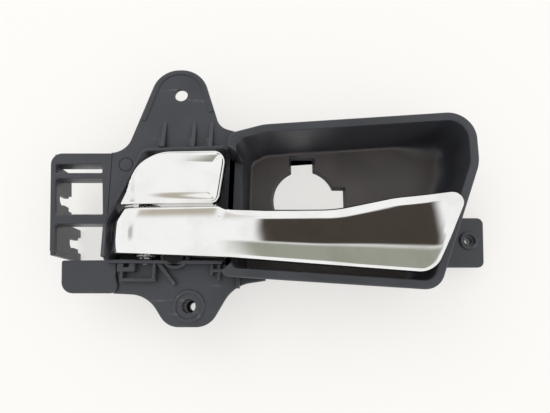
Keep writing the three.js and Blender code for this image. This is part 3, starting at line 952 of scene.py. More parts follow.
@dataclass(frozen=True)
class Bowl:
    """The finger bowl: lip, sloping walls, floor and the notched hole in it, as one surface.

    Attributes:
        rim_height: Height of the lip's top.
        lip: Width of the lip over the outside of the wall.
        lip_thick: Thickness of the lip.
        wall: Thickness of the wall.
        draft: How far the walls close in towards the floor.
        floor: Height of the floor's upper face.
        fillet: Radius between wall and floor.
        end_fillet: The same radius at the bowl's right end.
        divider: Height of the wall on the levers' side.
        divider_span: Stations along Y between which the divider is low.
        divider_blend: Length over which it falls from the rim's height.
        divider_side: Stations along X between which the rim turns into the divider.
        divider_slope: How far the divider slopes in beyond the draft.
        slope_span: Stations along X between which that slope sets in.
        end_span: Stations along X between which the fillet grows to the end's fillet.
        hole: x, y and radius of the hole.
        top_notch: Left, right and reach of the notch towards +Y, from the hole's centre.
        side_notch: Lower end, upper end and reach of the notch towards +X.
        hole_slope: How much wider the hole is at the floor's upper face.
    """

    rim_height: float = 34.5
    lip: float = 2.2
    lip_thick: float = 2.2
    wall: float = 1.8
    draft: float = 0.6
    floor: float = 2.5
    fillet: float = 1.6
    end_fillet: float = 8.0
    divider: float = 19.0
    divider_span: tuple[float, float] = (-37.4, 21.0)
    divider_blend: float = 1.2
    divider_side: tuple[float, float] = (-12.5, -16.5)
    divider_slope: float = 5.0
    slope_span: tuple[float, float] = (-4.0, -20.0)
    end_span: tuple[float, float] = (60.0, 84.0)
    hole: tuple[float, float, float] = (15.4, 2.2, 15.9)
    top_notch: tuple[float, float, float] = (-6.5, 4.8, 22.3)
    side_notch: tuple[float, float, float] = (-12.0, 5.6, 20.8)
    hole_slope: float = 1.2

    @staticmethod
    def _arc(
        centre: tuple[float, float], radius: float, start: float, end: float, steps: int
    ) -> np.ndarray:
        """Points along an arc of the wall's section.

        Args:
            centre: Inset and height of the centre.
            radius: Radius.
            start: First angle in degrees, from the inset axis.
            end: Last angle in degrees.
            steps: Number of steps.

        Returns:
            Insets and heights.
        """
        angle = np.radians(np.linspace(start, end, steps + 1))
        return np.stack([centre[0] + radius * np.cos(angle), centre[1] + radius * np.sin(angle)], axis=1)

    def section(self, fillet: float) -> np.ndarray:
        """The wall's section from the underside of the floor, up the outside, over the lip and down
        the inside to the floor.

        Args:
            fillet: Radius between wall and floor.

        Returns:
            Insets and heights.
        """
        top = self.rim_height
        foot_inset = self.lip + self.draft
        inner_top = self.lip + self.wall
        inner_foot = inner_top + self.draft
        heights = np.linspace(4.0, top - self.lip_thick - 0.8, 6)
        outer_wall = np.stack([np.interp(heights, [0, top], [foot_inset, self.lip]), heights], axis=1)
        inner_heights = np.linspace(top - 2.0, self.floor + fillet + 1.0, 8)
        inner_wall = np.stack(
            [np.interp(inner_heights, [self.floor, top], [inner_foot, inner_top]), inner_heights], axis=1
        )
        return np.concatenate([
            [[foot_inset + 8.0, 0.0], [foot_inset + 2.6, 0.0]],
            self._arc((foot_inset + 2.2, 2.2), 2.2, 270, 180, 4),
            outer_wall,
            self._arc((self.lip - 0.7, top - self.lip_thick - 0.7), 0.7, 0, 90, 2),
            self._arc((0.5, top - self.lip_thick + 0.5), 0.5, 270, 180, 2),
            self._arc((0.7, top - 0.7), 0.7, 180, 90, 3),
            [[1.0, top], [inner_top - 1.1, top]],
            self._arc((inner_top - 0.8, top - 0.8), 0.8, 90, 0, 3),
            inner_wall,
            self._arc((inner_foot + fillet, self.floor + fillet), fillet, 180, 270, 8),
            [[inner_foot + fillet + 0.4, self.floor]],
        ])

    def _hole_reach(self, angle: np.ndarray, grow: float) -> np.ndarray:
        """Distance from the hole's centre to its edge: the largest of the circle's radius and the
        distances at which the ray leaves either notch.

        Args:
            angle: Directions.
            grow: How far the edge is moved outwards.

        Returns:
            The distances.
        """
        cosine, sine = np.cos(angle), np.sin(angle)
        safe_cosine = np.where(np.abs(cosine) < 1e-6, 1e-6, cosine)
        safe_sine = np.where(np.abs(sine) < 1e-6, 1e-6, sine)
        left, right, up = np.array(self.top_notch) + np.array([-grow, grow, grow])
        down, over, reach = np.array(self.side_notch) + np.array([-grow, grow, grow])
        top_exit = np.minimum(up / safe_sine, np.where(cosine > 0, right / safe_cosine, left / safe_cosine))
        top_exit = np.where(sine > 0, top_exit, 0)
        side_exit = np.minimum(reach / safe_cosine, np.where(sine > 0, over / safe_sine, down / safe_sine))
        side_exit = np.where(cosine > 0, side_exit, 0)
        return np.maximum(np.maximum(top_exit, side_exit), self.hole[2] + grow)

    def shape(self) -> Shape:
        """The surface: rings of the rim outline at the section's insets and heights, then rings that
        run over the floor from the last one to the hole, down its edge and back under the floor.

        Where the divider is low, heights are held down to it and the inner wall slopes in further.

        Returns:
            The closed shape.
        """
        loop = CornerLoop(RIM, spacing=0.9, arc_step=2.5, least_radius=5.5)
        base = loop.points()
        low, high = self.divider_span
        along, across = base[:, 0], base[:, 1]
        between = ramp(across, low, low + self.divider_blend) * ramp(across, high, high - self.divider_blend)
        beside = smooth(ramp(along, *self.divider_side) * between)
        ceiling = self.rim_height + (self.divider - self.rim_height) * beside
        rings = []
        section, end_section = self.section(self.fillet), self.section(self.end_fillet)
        inner_from = int(np.argmax((section[:, 1] == self.rim_height)))
        end = smooth(ramp(along, *self.end_span))
        slope = smooth(ramp(along, *self.slope_span))
        for number, (row, end_row) in enumerate(zip(section, end_section)):
            ring = loop.points(row[0]) * (1 - end)[:, None] + loop.points(end_row[0]) * end[:, None]
            height = row[1] + (end_row[1] - row[1]) * end
            z = np.minimum(height, ceiling)
            if number > inner_from:
                sink = np.clip((self.rim_height - height) / self.rim_height, 0, 1)
                ring = ring + np.stack([slope * self.divider_slope * sink, np.zeros(len(ring))], axis=1)
            rings.append(np.column_stack([ring, z]))
        rings += self._floor_rings(rings[0][:, :2], rings[-1][:, :2])
        rings.append(rings[0])
        return Shape(np.concatenate(rings), grid_faces(len(rings), len(base), True))

    def _floor_rings(self, under: np.ndarray, edge: np.ndarray) -> list[np.ndarray]:
        """The rings of the floor: inwards over its upper face to the hole, down the hole's sloping
        edge, and outwards under it.

        Args:
            under: The wall's first ring, on the underside.
            edge: The wall's last ring, on the upper face.

        Returns:
            The rings.
        """
        rings = []
        centre = np.array(self.hole[:2])
        angle = np.arctan2(edge[:, 1] - centre[1], edge[:, 0] - centre[0])
        direction = np.stack([np.cos(angle), np.sin(angle)], axis=1)
        wide = self.hole_slope
        target = centre + direction * self._hole_reach(angle, wide + 0.7)[:, None]
        for share in (0.2, 0.4, 0.6, 0.8):
            rings.append(np.column_stack([edge + (target - edge) * share, np.full(len(edge), self.floor)]))
        edge_rings = (
            (wide + 0.7, self.floor), (wide + 0.25, self.floor), (wide, self.floor - 0.15),
            (wide - 0.15, self.floor - 0.45), (0.15, 0.6), (0.0, 0.3), (0.1, 0.1), (0.45, 0.0), (0.9, 0.0),
        )
        for grow, height in edge_rings:
            ring = centre + direction * self._hole_reach(angle, grow)[:, None]
            rings.append(np.column_stack([ring, np.full(len(ring), height)]))
        ring = rings[-1][:, :2]
        for share in (0.35, 0.7):
            rings.append(np.column_stack([ring + (under - ring) * share, np.zeros(len(ring))]))
        return rings

    def build(self, workshop: Workshop) -> None:
        """Makes and dresses the bowl.

        Args:
            workshop: Dresses the piece.
        """
        bowl = make_object("bowl", self.shape(), math.radians(45))
        workshop.dress(bowl, Body.HOUSING, Slot.HOUSING, ("housing_bowl_floor", "housing_bowl"))


@dataclass(frozen=True)
class ScrewTab:
    """The tab at the bowl's right end, with a boss whose hole is counterbored.

    Attributes:
        outline: Corners of the tab.
        levels: Lower and upper face of the tab.
        centre: Middle of the boss.
        hole: Radius of the screw hole.
        counterbore: Radius of the counterbore.
        boss: Radius of the boss.
        boss_levels: Foot and top of the boss.
        seat_levels: Foot and top of the screw's seat.
    """

    outline: tuple[Corner, ...] = ((78, -33.6, 0.5), (103.1, -33.6, 3), (104.9, -8.8, 3), (84, -8.8, 0.5))
    levels: tuple[float, float] = (7.5, 10.0)
    centre: tuple[float, float] = (96.4, -20.4)
    hole: float = 1.8
    counterbore: float = 2.9
    boss: float = 4.4
    boss_levels: tuple[float, float] = (2.0, 11.2)
    seat_levels: tuple[float, float] = (2.3, 9.9)

    def build(self, workshop: Workshop) -> None:
        """Makes and dresses the tab.

        Args:
            workshop: Dresses the piece.
        """
        hole, counterbore, boss, seat = (
            circle_loop(*self.centre, radius)
            for radius in (self.hole, self.counterbore, self.boss, self.counterbore + 0.2)
        )
        tab = gathered([
            plate(CornerLoop(self.outline), *self.levels, 0.5, [hole]),
            plate(boss, *self.boss_levels, 0.4, [counterbore]),
            plate(seat, *self.seat_levels, 0.2, [hole]),
        ])
        workshop.dress(make_object("screw_tab", tab), Body.HOUSING, Slot.HOUSING)


PIN_X, PIN_Z, CURL = -59.8, 24.0, 14.3
WALL_LEFT, WALL_TOP, WALL_CLEARANCE = -75.8, 34.5, 0.4
SIDE_PLANE = ((0, 0, 1), (1, 0, 0), (0, 1, 0))  # outline in Y and Z, thickness along X
END_PLANE = ((1, 0, 0), (0, 0, 1), (0, 1, 0))  # outline in X and Z, thickness along Y


def bar(x0: float, x1: float, y0: float, y1: float, low: float, high: float, edge: float = 0.3) -> Shape:
    """A straight rib or block with rounded corners and edges.

    Args:
        x0: Left side.
        x1: Right side.
        y0: Lower side.
        y1: Upper side.
        low: Foot.
        high: Top.
        edge: Radius of its edges.

    Returns:
        The closed shape.
    """
    corners = tuple((x, y, edge + 0.1) for x, y in ((x0, y0), (x1, y0), (x1, y1), (x0, y1)))
    return plate(CornerLoop(corners, arc_step=22.5), low, high, edge)


@dataclass(frozen=True)
class CableBracket:
    """The bracket for the two cables: a leaning frame of plate and bars with three windows, and two
    tongues with keyholes that hang from its outer edge.

    Attributes:
        left: Outer edge at y = 0.
        lean: Shift of a leaning edge for each millimetre of y.
        right: Right edge.
        window_right: Right edge of the windows at y = 0.
        top: Upper edge.
        foot: Lower edge next to the pocket.
        short_foot: Lower edge of the outer strip.
        wall: Width of the outer strip.
        front: Height of the plate.
        plate_thick: Thickness of the plate.
        bar_foot: Foot of the bars.
        windows: Lower and upper side of the two closed windows.
        open_top: Top of the open window.
        tongues: Lower end, upper end, foot, middle of the keyhole and top of its eye, of each tongue.
    """

    left: float = -104.6
    lean: float = -0.09
    right: float = -76.4
    window_right: float = -80.3
    top: float = 18.6
    foot: float = -31.9
    short_foot: float = -28.7
    wall: float = 2.5
    front: float = 30.0
    plate_thick: float = 2.5
    bar_foot: float = 21.0
    windows: tuple[tuple[float, float], ...] = ((8.9, 13.2), (-11.0, 6.2))
    open_top: float = -15.5
    tongues: tuple[tuple[float, float, float, float, float], ...] = (
        (-11.0, 13.2, 11.5, -2.4, 25.0), (-30.0, -13.4, 0.0, -21.6, 13.6),
    )

    def _quad(self, left: float, right: float, low: float, high: float, radius: float = 0.5) -> CornerLoop:
        """A four-sided outline whose left and right sides lean.

        Args:
            left: Left side at y = 0.
            right: Right side at y = 0.
            low: Lower side.
            high: Upper side.
            radius: Radius of the corners.

        Returns:
            The outline.
        """
        sides = ((left, low), (right, low), (right, high), (left, high))
        return CornerLoop(tuple((x + self.lean * y, y, radius) for x, y in sides), arc_step=15)

    def _tongue(self, low: float, high: float, foot: float, slot: float, slot_top: float) -> Shape:
        """A tongue: a wall with a keyhole that is open at its foot, with a stepped mouth.

        Args:
            low: Lower end along Y.
            high: Upper end along Y.
            foot: Foot of the wall.
            slot: Middle of the keyhole along Y.
            slot_top: Top of the keyhole's eye.

        Returns:
            The closed shape.
        """
        eye, half, mouth, step = 2.9, 2.2, 4.0, foot + 3.5
        centre = slot_top - eye
        start = math.asin(half / eye)
        turns = np.linspace(-math.pi / 2 - start, -1.5 * math.pi - (math.pi / 2 - start), 15)
        arc = [(slot + eye * math.cos(t), centre + eye * math.sin(t), 0.0) for t in turns]
        outline = (
            (low, foot, 0.6), (slot - mouth, foot, 0.4), (slot - mouth, step, 0.4), (slot - half, step, 0.4),
            *arc,
            (slot + half, step, 0.4), (slot + mouth, step, 0.4), (slot + mouth, foot, 0.4), (high, foot, 0.6),
            (high, self.front - 0.6, 0.3), (low, self.front - 0.6, 0.3),
        )
        wall = plate(CornerLoop(outline, arc_step=22.5), 0, self.wall, 0.35)
        return wall.mapped(((self.lean, 0, 1), (1, 0, 0), (0, 1, 0))).moved(x=self.left)

    def build(self, workshop: Workshop) -> None:
        """Makes and dresses the bracket.

        Args:
            workshop: Dresses the piece.
        """
        inner = self.left + self.wall

        def at(x: float, y: float, radius: float) -> Corner:
            """A corner on a leaning edge."""
            return (x + self.lean * y, y, radius)

        outline = CornerLoop((
            at(self.left, self.short_foot, 1.2), at(inner, self.short_foot, 0.5),
            at(inner, self.open_top, 0.6), at(self.window_right, self.open_top, 0.6),
            at(self.window_right, self.foot, 0.3),
            (self.right, self.foot, 0.3), (self.right, self.top, 0.3), at(self.left, self.top, 5.0),
        ))
        holes = [self._quad(inner, self.window_right, low, high) for low, high in self.windows]
        pieces = [plate(outline, self.front - self.plate_thick, self.front, 0.45, holes)]
        levels = (self.top - 0.4, self.windows[0][1], self.windows[0][0], self.windows[1][1],
                  self.windows[1][0], self.open_top)
        for high, low in zip(levels[::2], levels[1::2]):
            ends = self._quad(inner - 0.6, self.window_right + 0.6, low + 0.05, high - 0.05, 0.3)
            pieces.append(plate(ends, self.bar_foot, self.front - 0.5, 0.3))
        side = CornerLoop((
            at(self.window_right + 0.05, self.foot + 0.1, 0.3), (self.right, self.foot + 0.1, 0.3),
            (self.right, self.top - 0.3, 0.3), at(self.window_right + 0.05, self.top - 0.3, 0.3),
        ))
        pieces.append(plate(side, self.bar_foot, self.front - 0.5, 0.3))
        pieces += [self._tongue(*tongue) for tongue in self.tongues]
        bracket = make_object("cable_bracket", gathered(pieces))
        workshop.dress(bracket, Body.HOUSING, Slot.HOUSING, ("housing_bracket",))


@dataclass(frozen=True)
class UpperEar:
    """The front plate beside the pocket and the upper screw ear: a plate with a hole, a raised
    border round the ear's head, three gussets and the marks of ejector pins.

    Attributes:
        front: Height of the plate.
        thick: Thickness of the plate.
        hole: x, y and radius of the screw hole.
        border: Height of the raised border.
        gussets: Left side of each gusset.
        gusset: Thickness of a gusset.
        ejectors: x, y and radius of each ejector mark.
    """

    front: float = 30.0
    thick: float = 2.5
    hole: Corner = (-45.6, 48.5, 3.1)
    border: float = 0.55
    gussets: tuple[float, ...] = (-53.6, -39.4, -31.2)
    gusset: float = 2.0
    ejectors: tuple[Corner, ...] = ((-70.2, 13.0, 3.4),)

    def build(self, workshop: Workshop) -> None:
        """Makes and dresses the ear.

        Args:
            workshop: Dresses the piece.
        """
        outline = CornerLoop((
            (-77.6, 18.9, 0.4), (-77.6, -15.4, 0.2), (-76.2, -15.4, 0.2), (-61.1, 18.9, 3.8),
            (-24.3, 20.3, 0.3), (-19.3, 20.4, 0.3), (-18.6, 24.8, 1.0), (-16.6, 28.4, 0.3),
            (-18.2, 29.4, 0.3), (-26.4, 31.8, 7.5),
            (-36.0, 61.9, 13.4), (-56.4, 61.9, 13.4), (-70.6, 19.3, 10),
        ), arc_step=5)
        pieces = [plate(outline, self.front - self.thick, self.front, 0.5, [circle_loop(*self.hole)])]
        rim = CornerLoop((
            (-64.6, 35.5, 0.6), (-61.9, 34.9, 0.6), (-54.3, 59.2, 10.4), (-38.0, 59.2, 10.4),
            (-31.6, 39.2, 0.6), (-29.1, 39.8, 0.6), (-36.1, 61.5, 13.0), (-56.2, 61.5, 13.0),
        ), arc_step=5)
        pieces.append(plate(rim, self.front - 0.8, self.front + self.border, 0.45))
        wedge = CornerLoop(((20.4, 29.4, 0.2), (34.6, 29.4, 0.1), (34.2, 30.4, 0.5), (20.4, 34.2, 0.3)))
        for x in self.gussets:
            pieces.append(plate(wedge, x, x + self.gusset, 0.3).mapped(SIDE_PLANE))
            pieces.append(bar(x - 1.0, x + 0.2, 20.9, 25.2, 29.5, 33.0, 0.25))
        for x, y, radius in self.ejectors:
            inside = circle_loop(x, y, radius - 0.3)
            outside = circle_loop(x, y, radius)
            pieces.append(plate(outside, self.front - 0.5, self.front + 0.03, 0.03, [inside]))
        ear = make_object("upper_ear", gathered(pieces))
        workshop.dress(ear, Body.HOUSING, Slot.HOUSING, ("housing_top_ear",))


@dataclass(frozen=True)
class LowerEar:
    """The lower flange and the lower screw ear, with its boss, collar and small ribs.

    Attributes:
        front: Height of the ear.
        flange: Height of the flange.
        thick: Thickness of both.
        hole: x, y and radius of the screw hole.
        boss: Radius of the boss.
        pilot: Radius of the narrow hole at the boss's foot.
        boss_foot: Foot of the boss.
        ribs: x0, x1, y0, y1 and top of each rib.
    """

    front: float = 24.0
    flange: float = 26.0
    thick: float = 2.5
    hole: Corner = (-39.0, -52.5, 3.05)
    boss: float = 6.6
    pilot: float = 1.9
    boss_foot: float = 6.0
    ribs: tuple[tuple[float, float, float, float, float], ...] = (
        (-70.2, -54.0, -41.6, -40.2, 28.0), (-70.2, -68.8, -40.6, -37.0, 28.0),
        (-55.4, -54.0, -40.6, -33.0, 28.6), (-29.4, -28.0, -39.0, -33.4, 27.0),
        (-26.0, -24.6, -41.0, -33.4, 27.0), (-17.2, -15.8, -44.6, -36.8, 28.0),
        (-28.2, -15.8, -37.4, -36.0, 27.6),
    )

    def build(self, workshop: Workshop) -> None:
        """Makes and dresses the ear and the flange.

        Args:
            workshop: Dresses the piece.
        """
        x, y, radius = self.hole
        hole, boss, pilot = (circle_loop(x, y, r) for r in (radius, self.boss, self.pilot))
        under = self.front - self.thick
        ear = CornerLoop((
            (-74.0, -46.8, 0.3), (-58.2, -47.6, 15), (-48.6, -61.8, 10), (-29.6, -61.8, 10),
            (-18.8, -43.2, 16), (-4.0, -41.0, 0.3), (-4.0, -36.9, 0.3), (-22.0, -35.9, 0.3),
            (-24.2, -32.7, 0.3), (-74.0, -32.7, 0.3),
        ), arc_step=5)
        flange = CornerLoop((
            (-98.0, -31.9, 1.0), (-96.8, -46.8, 5.5), (-70.6, -46.8, 3.5), (-72.6, -38.0, 3.0),
            (-72.6, -32.6, 0.3), (-77.0, -31.7, 0.3),
        ), arc_step=5)
        pieces = [
            plate(ear, under, self.front, 0.5, [hole]),
            plate(flange, self.flange - self.thick, self.flange, 0.6),
            plate(circle_loop(x, y, self.boss + 0.9), under, self.front + 0.7, 0.45,
                  [circle_loop(x, y, self.boss - 0.9)]),
            plate(boss, self.boss_foot + 3, under + 0.4, 0.4, [hole]),
            plate(boss, self.boss_foot, self.boss_foot + 3.4, 0.4, [pilot]),
        ]
        pieces += [bar(*sides, self.front - 1.0, top, 0.25) for *sides, top in self.ribs]
        slant = CornerLoop((
            (-54.2, -33.4, 0.3), (-53.4, -34.6, 0.3), (-45.6, -43.4, 0.4), (-44.6, -42.4, 0.4),
            (-51.6, -33.4, 0.3),
        ))
        pieces.append(plate(slant, self.front - 1.0, 27.2, 0.25))
        piece = make_object("lower_ear", gathered(pieces))
        workshop.dress(piece, Body.HOUSING, Slot.HOUSING, ("housing_low_ear",))


@dataclass(frozen=True)
class Pocket:
    """The wall round the levers' pocket, the lugs for the pin, the seats of the bumpers, the clip
    block, and the apron between the pocket and the bowl.

    Attributes:
        rim: Height of the wall.
        low_rim: Height of the wall below the pull lever.
        foot: Foot of the wall.
        apron: Height of the apron.
        lug_stations: Both ends along Y of each lug.
        bore: Radius of the lugs' bore.
        cup: x, y and radius of the cup for the pull lever's bumper.
        cup_levels: Foot, floor and top of the cup.
        seat: Sides, foot and top of the block for the lock lever's bumper.
    """

    rim: float = 34.5
    low_rim: float = 29.5
    foot: float = 12.0
    apron: float = 18.8
    lug_stations: tuple[tuple[float, float], ...] = ((7.7, 10.9), (-33.2, -31.7))
    bore: float = 2.3
    cup: Corner = (-45.6, -29.2, 6.8)
    cup_levels: tuple[float, float, float] = (16.0, 19.6, 27.5)
    seat: tuple[float, ...] = (-33.0, -27.0, 13.6, 20.2, 13.6, 21.6)

    def build(self, workshop: Workshop) -> None:
        """Makes and dresses the pocket.

        Args:
            workshop: Dresses the piece.
        """
        wall = CornerLoop((
            (-77.3, -31.2, 0.4), (WALL_LEFT, -31.2, 0.4), (WALL_LEFT, -15.5, 6.4), (-60.5, 18.1, 3.2),
            (-24.0, 19.3, 0.4), (-24.0, 20.9, 0.4), (-61.6, 19.6, 4.8), (-77.3, -15.8, 8.0),
        ), arc_step=5)
        lower = CornerLoop((
            (-77.3, -33.4, 2.0), (-23.6, -33.9, 0.4), (-23.6, -32.3, 0.4), (WALL_LEFT, -31.8, 0.4),
            (WALL_LEFT, -30.6, 0.3), (-77.3, -30.6, 0.3),
        ))
        pieces = [plate(wall, self.foot, self.rim, 0.5), plate(lower, self.foot, self.low_rim, 0.4)]
        pieces.append(bar(-28.4, -19.6, -33.2, 25.0, self.apron - 1.6, self.apron, 0.3))
        pieces.append(bar(-76.0, -24.4, -32.7, -26.4, self.foot + 0.2, self.foot + 1.8, 0.3))
        lug = CornerLoop(((-70.5, 14.0, 0.3), (-55.6, 14.0, 0.3), (-55.6, 28.2, 4.1), (-64.0, 28.2, 3.0),
                          (-70.5, 26.9, 0.4)))
        bore = circle_loop(PIN_X, PIN_Z, self.bore)
        for start, end in self.lug_stations:
            pieces.append(plate(lug, start, end, 0.3, [bore]).mapped(END_PLANE))
        x, y, radius = self.cup
        foot, floor, top = self.cup_levels
        pieces.append(plate(circle_loop(x, y, radius), foot, top, 0.5, [circle_loop(x, y, radius - 1.85)]))
        pieces.append(plate(circle_loop(x, y, radius - 0.8), foot + 0.2, floor, 0.4))
        pieces.append(bar(*self.seat))
        clip = CornerLoop((
            (-71.6, -37.2, 0.5), (-63.6, -37.2, 0.5), (-63.6, -32.6, 0.3), (-66.2, -32.6, 0.3),
            (-66.2, -35.2, 0.3), (-68.8, -35.2, 0.3), (-68.8, -32.6, 0.3), (-71.6, -32.6, 0.3),
        ), arc_step=15)
        pieces.append(plate(clip, 18.0, 28.2, 0.3))
        pocket = make_object("lever_pocket", gathered(pieces))
        workshop.dress(pocket, Body.HOUSING, Slot.HOUSING, ("housing_pocket",))


# ------------------------------------------------------------------------------- levers


@dataclass(frozen=True)
class LeverCover:
    """A chrome cover: a front surface over its outline, a rounded edge, and a skirt behind.

    Attributes:
        name: Name of the piece.
        body: The body it rides on.
        node: The node it stands for.
        outline: Corners of the outline.
        splits: The corners that part its lower, right, upper and left sides.
        skirt: Height of the skirt.
        travel: How far the lever opens, in degrees.
        shell: Thickness of the plating and its plastic.
        edge: Radius of the rounded edge.
        columns: Number of columns.
        wall_face: Stations along Y, and the wall's inner face along X at each.
        headroom: How far over the wall's top a point has to be before it may reach further left.
        overhang: How much further left, for each millimetre of height.
    """

    name: str
    body: Body
    node: str
    outline: tuple[Corner, ...]
    splits: tuple[int, int, int, int]
    skirt: float
    travel: float
    shell: float = 1.4
    edge: float = 1.0
    columns: int = 150
    wall_face: tuple[tuple[float, ...], ...] = ((-15.5, 18.1, 19.3), (WALL_LEFT, -60.5, -56.0))
    headroom: float = 1.0
    overhang: float = 2.0

    def front(
        self, x: np.ndarray, y: np.ndarray, across: np.ndarray, edge_distance: np.ndarray
    ) -> np.ndarray:
        """Height of the front surface.

        Args:
            x: Stations along X.
            y: Stations along Y.
            across: Share of the way from the lower edge to the upper edge.
            edge_distance: Distance to the outline.

        Returns:
            The heights.
        """
        raise NotImplementedError

    def _sides(self) -> list[np.ndarray]:
        """Cuts the outline at the middle of four corners into its lower, right, upper and left sides.

        Returns:
            The four sides, lower and upper from left to right, right and left from below.
        """
        loop = CornerLoop(self.outline, spacing=0.5, arc_step=1.0)
        points = loop.points()
        corners = np.array([self.outline[i][:2] for i in self.splits])
        starts = [int(np.argmin(np.linalg.norm(points - corner, axis=1))) for corner in corners]
        sides = []
        for start, end in zip(starts, starts[1:] + starts[:1]):
            stop = end if end > start else end + len(points)
            sides.append(points[np.arange(start, stop + 1) % len(points)])
        lower, right, upper, left = sides
        return [lower, right, upper[::-1], left[::-1]]

    @staticmethod
    def _resampled(line: np.ndarray, shares: np.ndarray) -> np.ndarray:
        """Points at given shares of a line's length.

        Args:
            line: The line.
            shares: Shares from zero to one.

        Returns:
            The points.
        """
        length = np.concatenate([[0], np.cumsum(np.linalg.norm(np.diff(line, axis=0), axis=1))])
        return np.stack([np.interp(shares * length[-1], length, line[:, k]) for k in (0, 1)], axis=1)

    def _cleared(self, points: np.ndarray) -> np.ndarray:
        """Moves points to the right until the pocket's wall never meets them while the lever opens.

        A point at p, z from the pin goes to p cos a - z sin a, p sin a + z cos a. Where that lies
        below the wall's top, it has to stay right of the wall's inner face; above the top it may
        reach further left, the more the higher it is.

        Args:
            points: Points, n by 3.

        Returns:
            The moved points.
        """
        face = np.interp(points[:, 1], *self.wall_face) - PIN_X + WALL_CLEARANCE
        along, high = points[:, 0] - PIN_X, points[:, 2] - PIN_Z
        for angle in np.radians(np.linspace(0, self.travel, 15)):
            turned = along * math.cos(angle) - high * math.sin(angle)
            height = along * math.sin(angle) + high * math.cos(angle)
            above = np.maximum(height - (WALL_TOP - PIN_Z + self.headroom), 0)
            along = along + np.maximum(face - self.overhang * above - turned, 0) / math.cos(angle)
        return np.column_stack([along + PIN_X, points[:, 1:]])

    def shape(self) -> Shape:
        """The cover's outer skin. A Coons patch of the four sides gives x and y: the sum of the two
        ruled surfaces between opposite sides less the bilinear surface of the corners. The front
        gives z, less a quarter circle near the edge, and two rows carry the edge down as the skirt.

        Returns:
            The open skin.
        """
        lower, right, upper, left = self._sides()
        fine = np.array([0.0, 0.004, 0.01, 0.02, 0.035])
        u = np.concatenate([fine * 0.35, np.linspace(0.018, 0.982, self.columns), 1 - fine[::-1] * 0.35])
        v = np.concatenate([fine, np.linspace(0.055, 0.945, 34), 1 - fine[::-1]])
        low, high = self._resampled(lower, u), self._resampled(upper, u)
        west, east = self._resampled(left, v), self._resampled(right, v)
        uu, vv = u[None, :, None], v[:, None, None]
        ruled = (1 - vv) * low[None] + vv * high[None] + (1 - uu) * west[:, None] + uu * east[:, None]
        bilinear = (
            (1 - uu) * (1 - vv) * low[0] + uu * (1 - vv) * low[-1]
            + (1 - uu) * vv * high[0] + uu * vv * high[-1]
        )
        flat = ruled - bilinear
        border = CornerLoop(self.outline, spacing=0.12, arc_step=0.12).points()
        flat_points = flat.reshape(-1, 2)
        gap = np.concatenate([
            np.linalg.norm(chunk[:, None] - border[None], axis=2).min(axis=1)
            for chunk in np.array_split(flat_points, 24)
        ]).reshape(flat.shape[:2])
        gap[[0, -1], :] = 0
        gap[:, [0, -1]] = 0
        z = self.front(flat[..., 0], flat[..., 1], np.broadcast_to(vv[..., 0], gap.shape), gap)
        inside = np.clip(gap / self.edge, 0, 1)
        z = z - self.edge * (1 - np.sqrt(1 - (1 - inside) ** 2))
        top = np.concatenate([flat, z[..., None]], axis=2)
        rows, columns = gap.shape
        index = np.arange(rows * columns).reshape(rows, columns)
        rim = np.concatenate([index[0], index[1:, -1], index[-1, -2::-1], index[-2:0:-1, 0]])
        points = top.reshape(-1, 3)
        drops = np.array([0.5, self.skirt - 0.4, self.skirt])
        skirt_points = points[rim][None] - drops[:, None, None] * np.array([0, 0, 1.0])
        shape = Shape(points, grid_faces(rows, columns, False))
        levels = np.concatenate([rim[None], len(points) + np.arange(3 * len(rim)).reshape(3, -1)])
        closed = np.concatenate([levels, levels[:, :1]], axis=1)
        quads = np.stack([closed[1:, :-1], closed[1:, 1:], closed[:-1, 1:], closed[:-1, :-1]], axis=-1)
        shape.points = self._cleared(np.concatenate([points, skirt_points.reshape(-1, 3)]))
        shape.faces += [tuple(quad) for quad in quads.reshape(-1, 4).tolist()]
        return shape

    def build(self, workshop: Workshop) -> None:
        """Makes the cover, gives it its thickness and dresses it.

        Args:
            workshop: Dresses the piece.
        """
        cover = make_object(self.name, self.shape(), math.radians(60))
        solidify = cover.modifiers.new("shell", "SOLIDIFY")
        solidify.thickness = self.shell * MM
        solidify.offset = -1
        workshop.dress(cover, self.body, Slot.CHROME, (self.node,))


def curled_height(along: np.ndarray, reach: np.ndarray) -> np.ndarray:
    """Height over the pin left of it: a superellipse as high as the curl and as wide as the reach.

    Args:
        along: Distance from the pin, negative to the left.
        reach: Half width of the superellipse.

    Returns:
        The heights; right of the pin it is the curl's own height.
    """
    power = 2.3
    share = np.clip(-along / reach, 0, 0.995)
    return CURL * (1 - share**power) ** (1 / power)


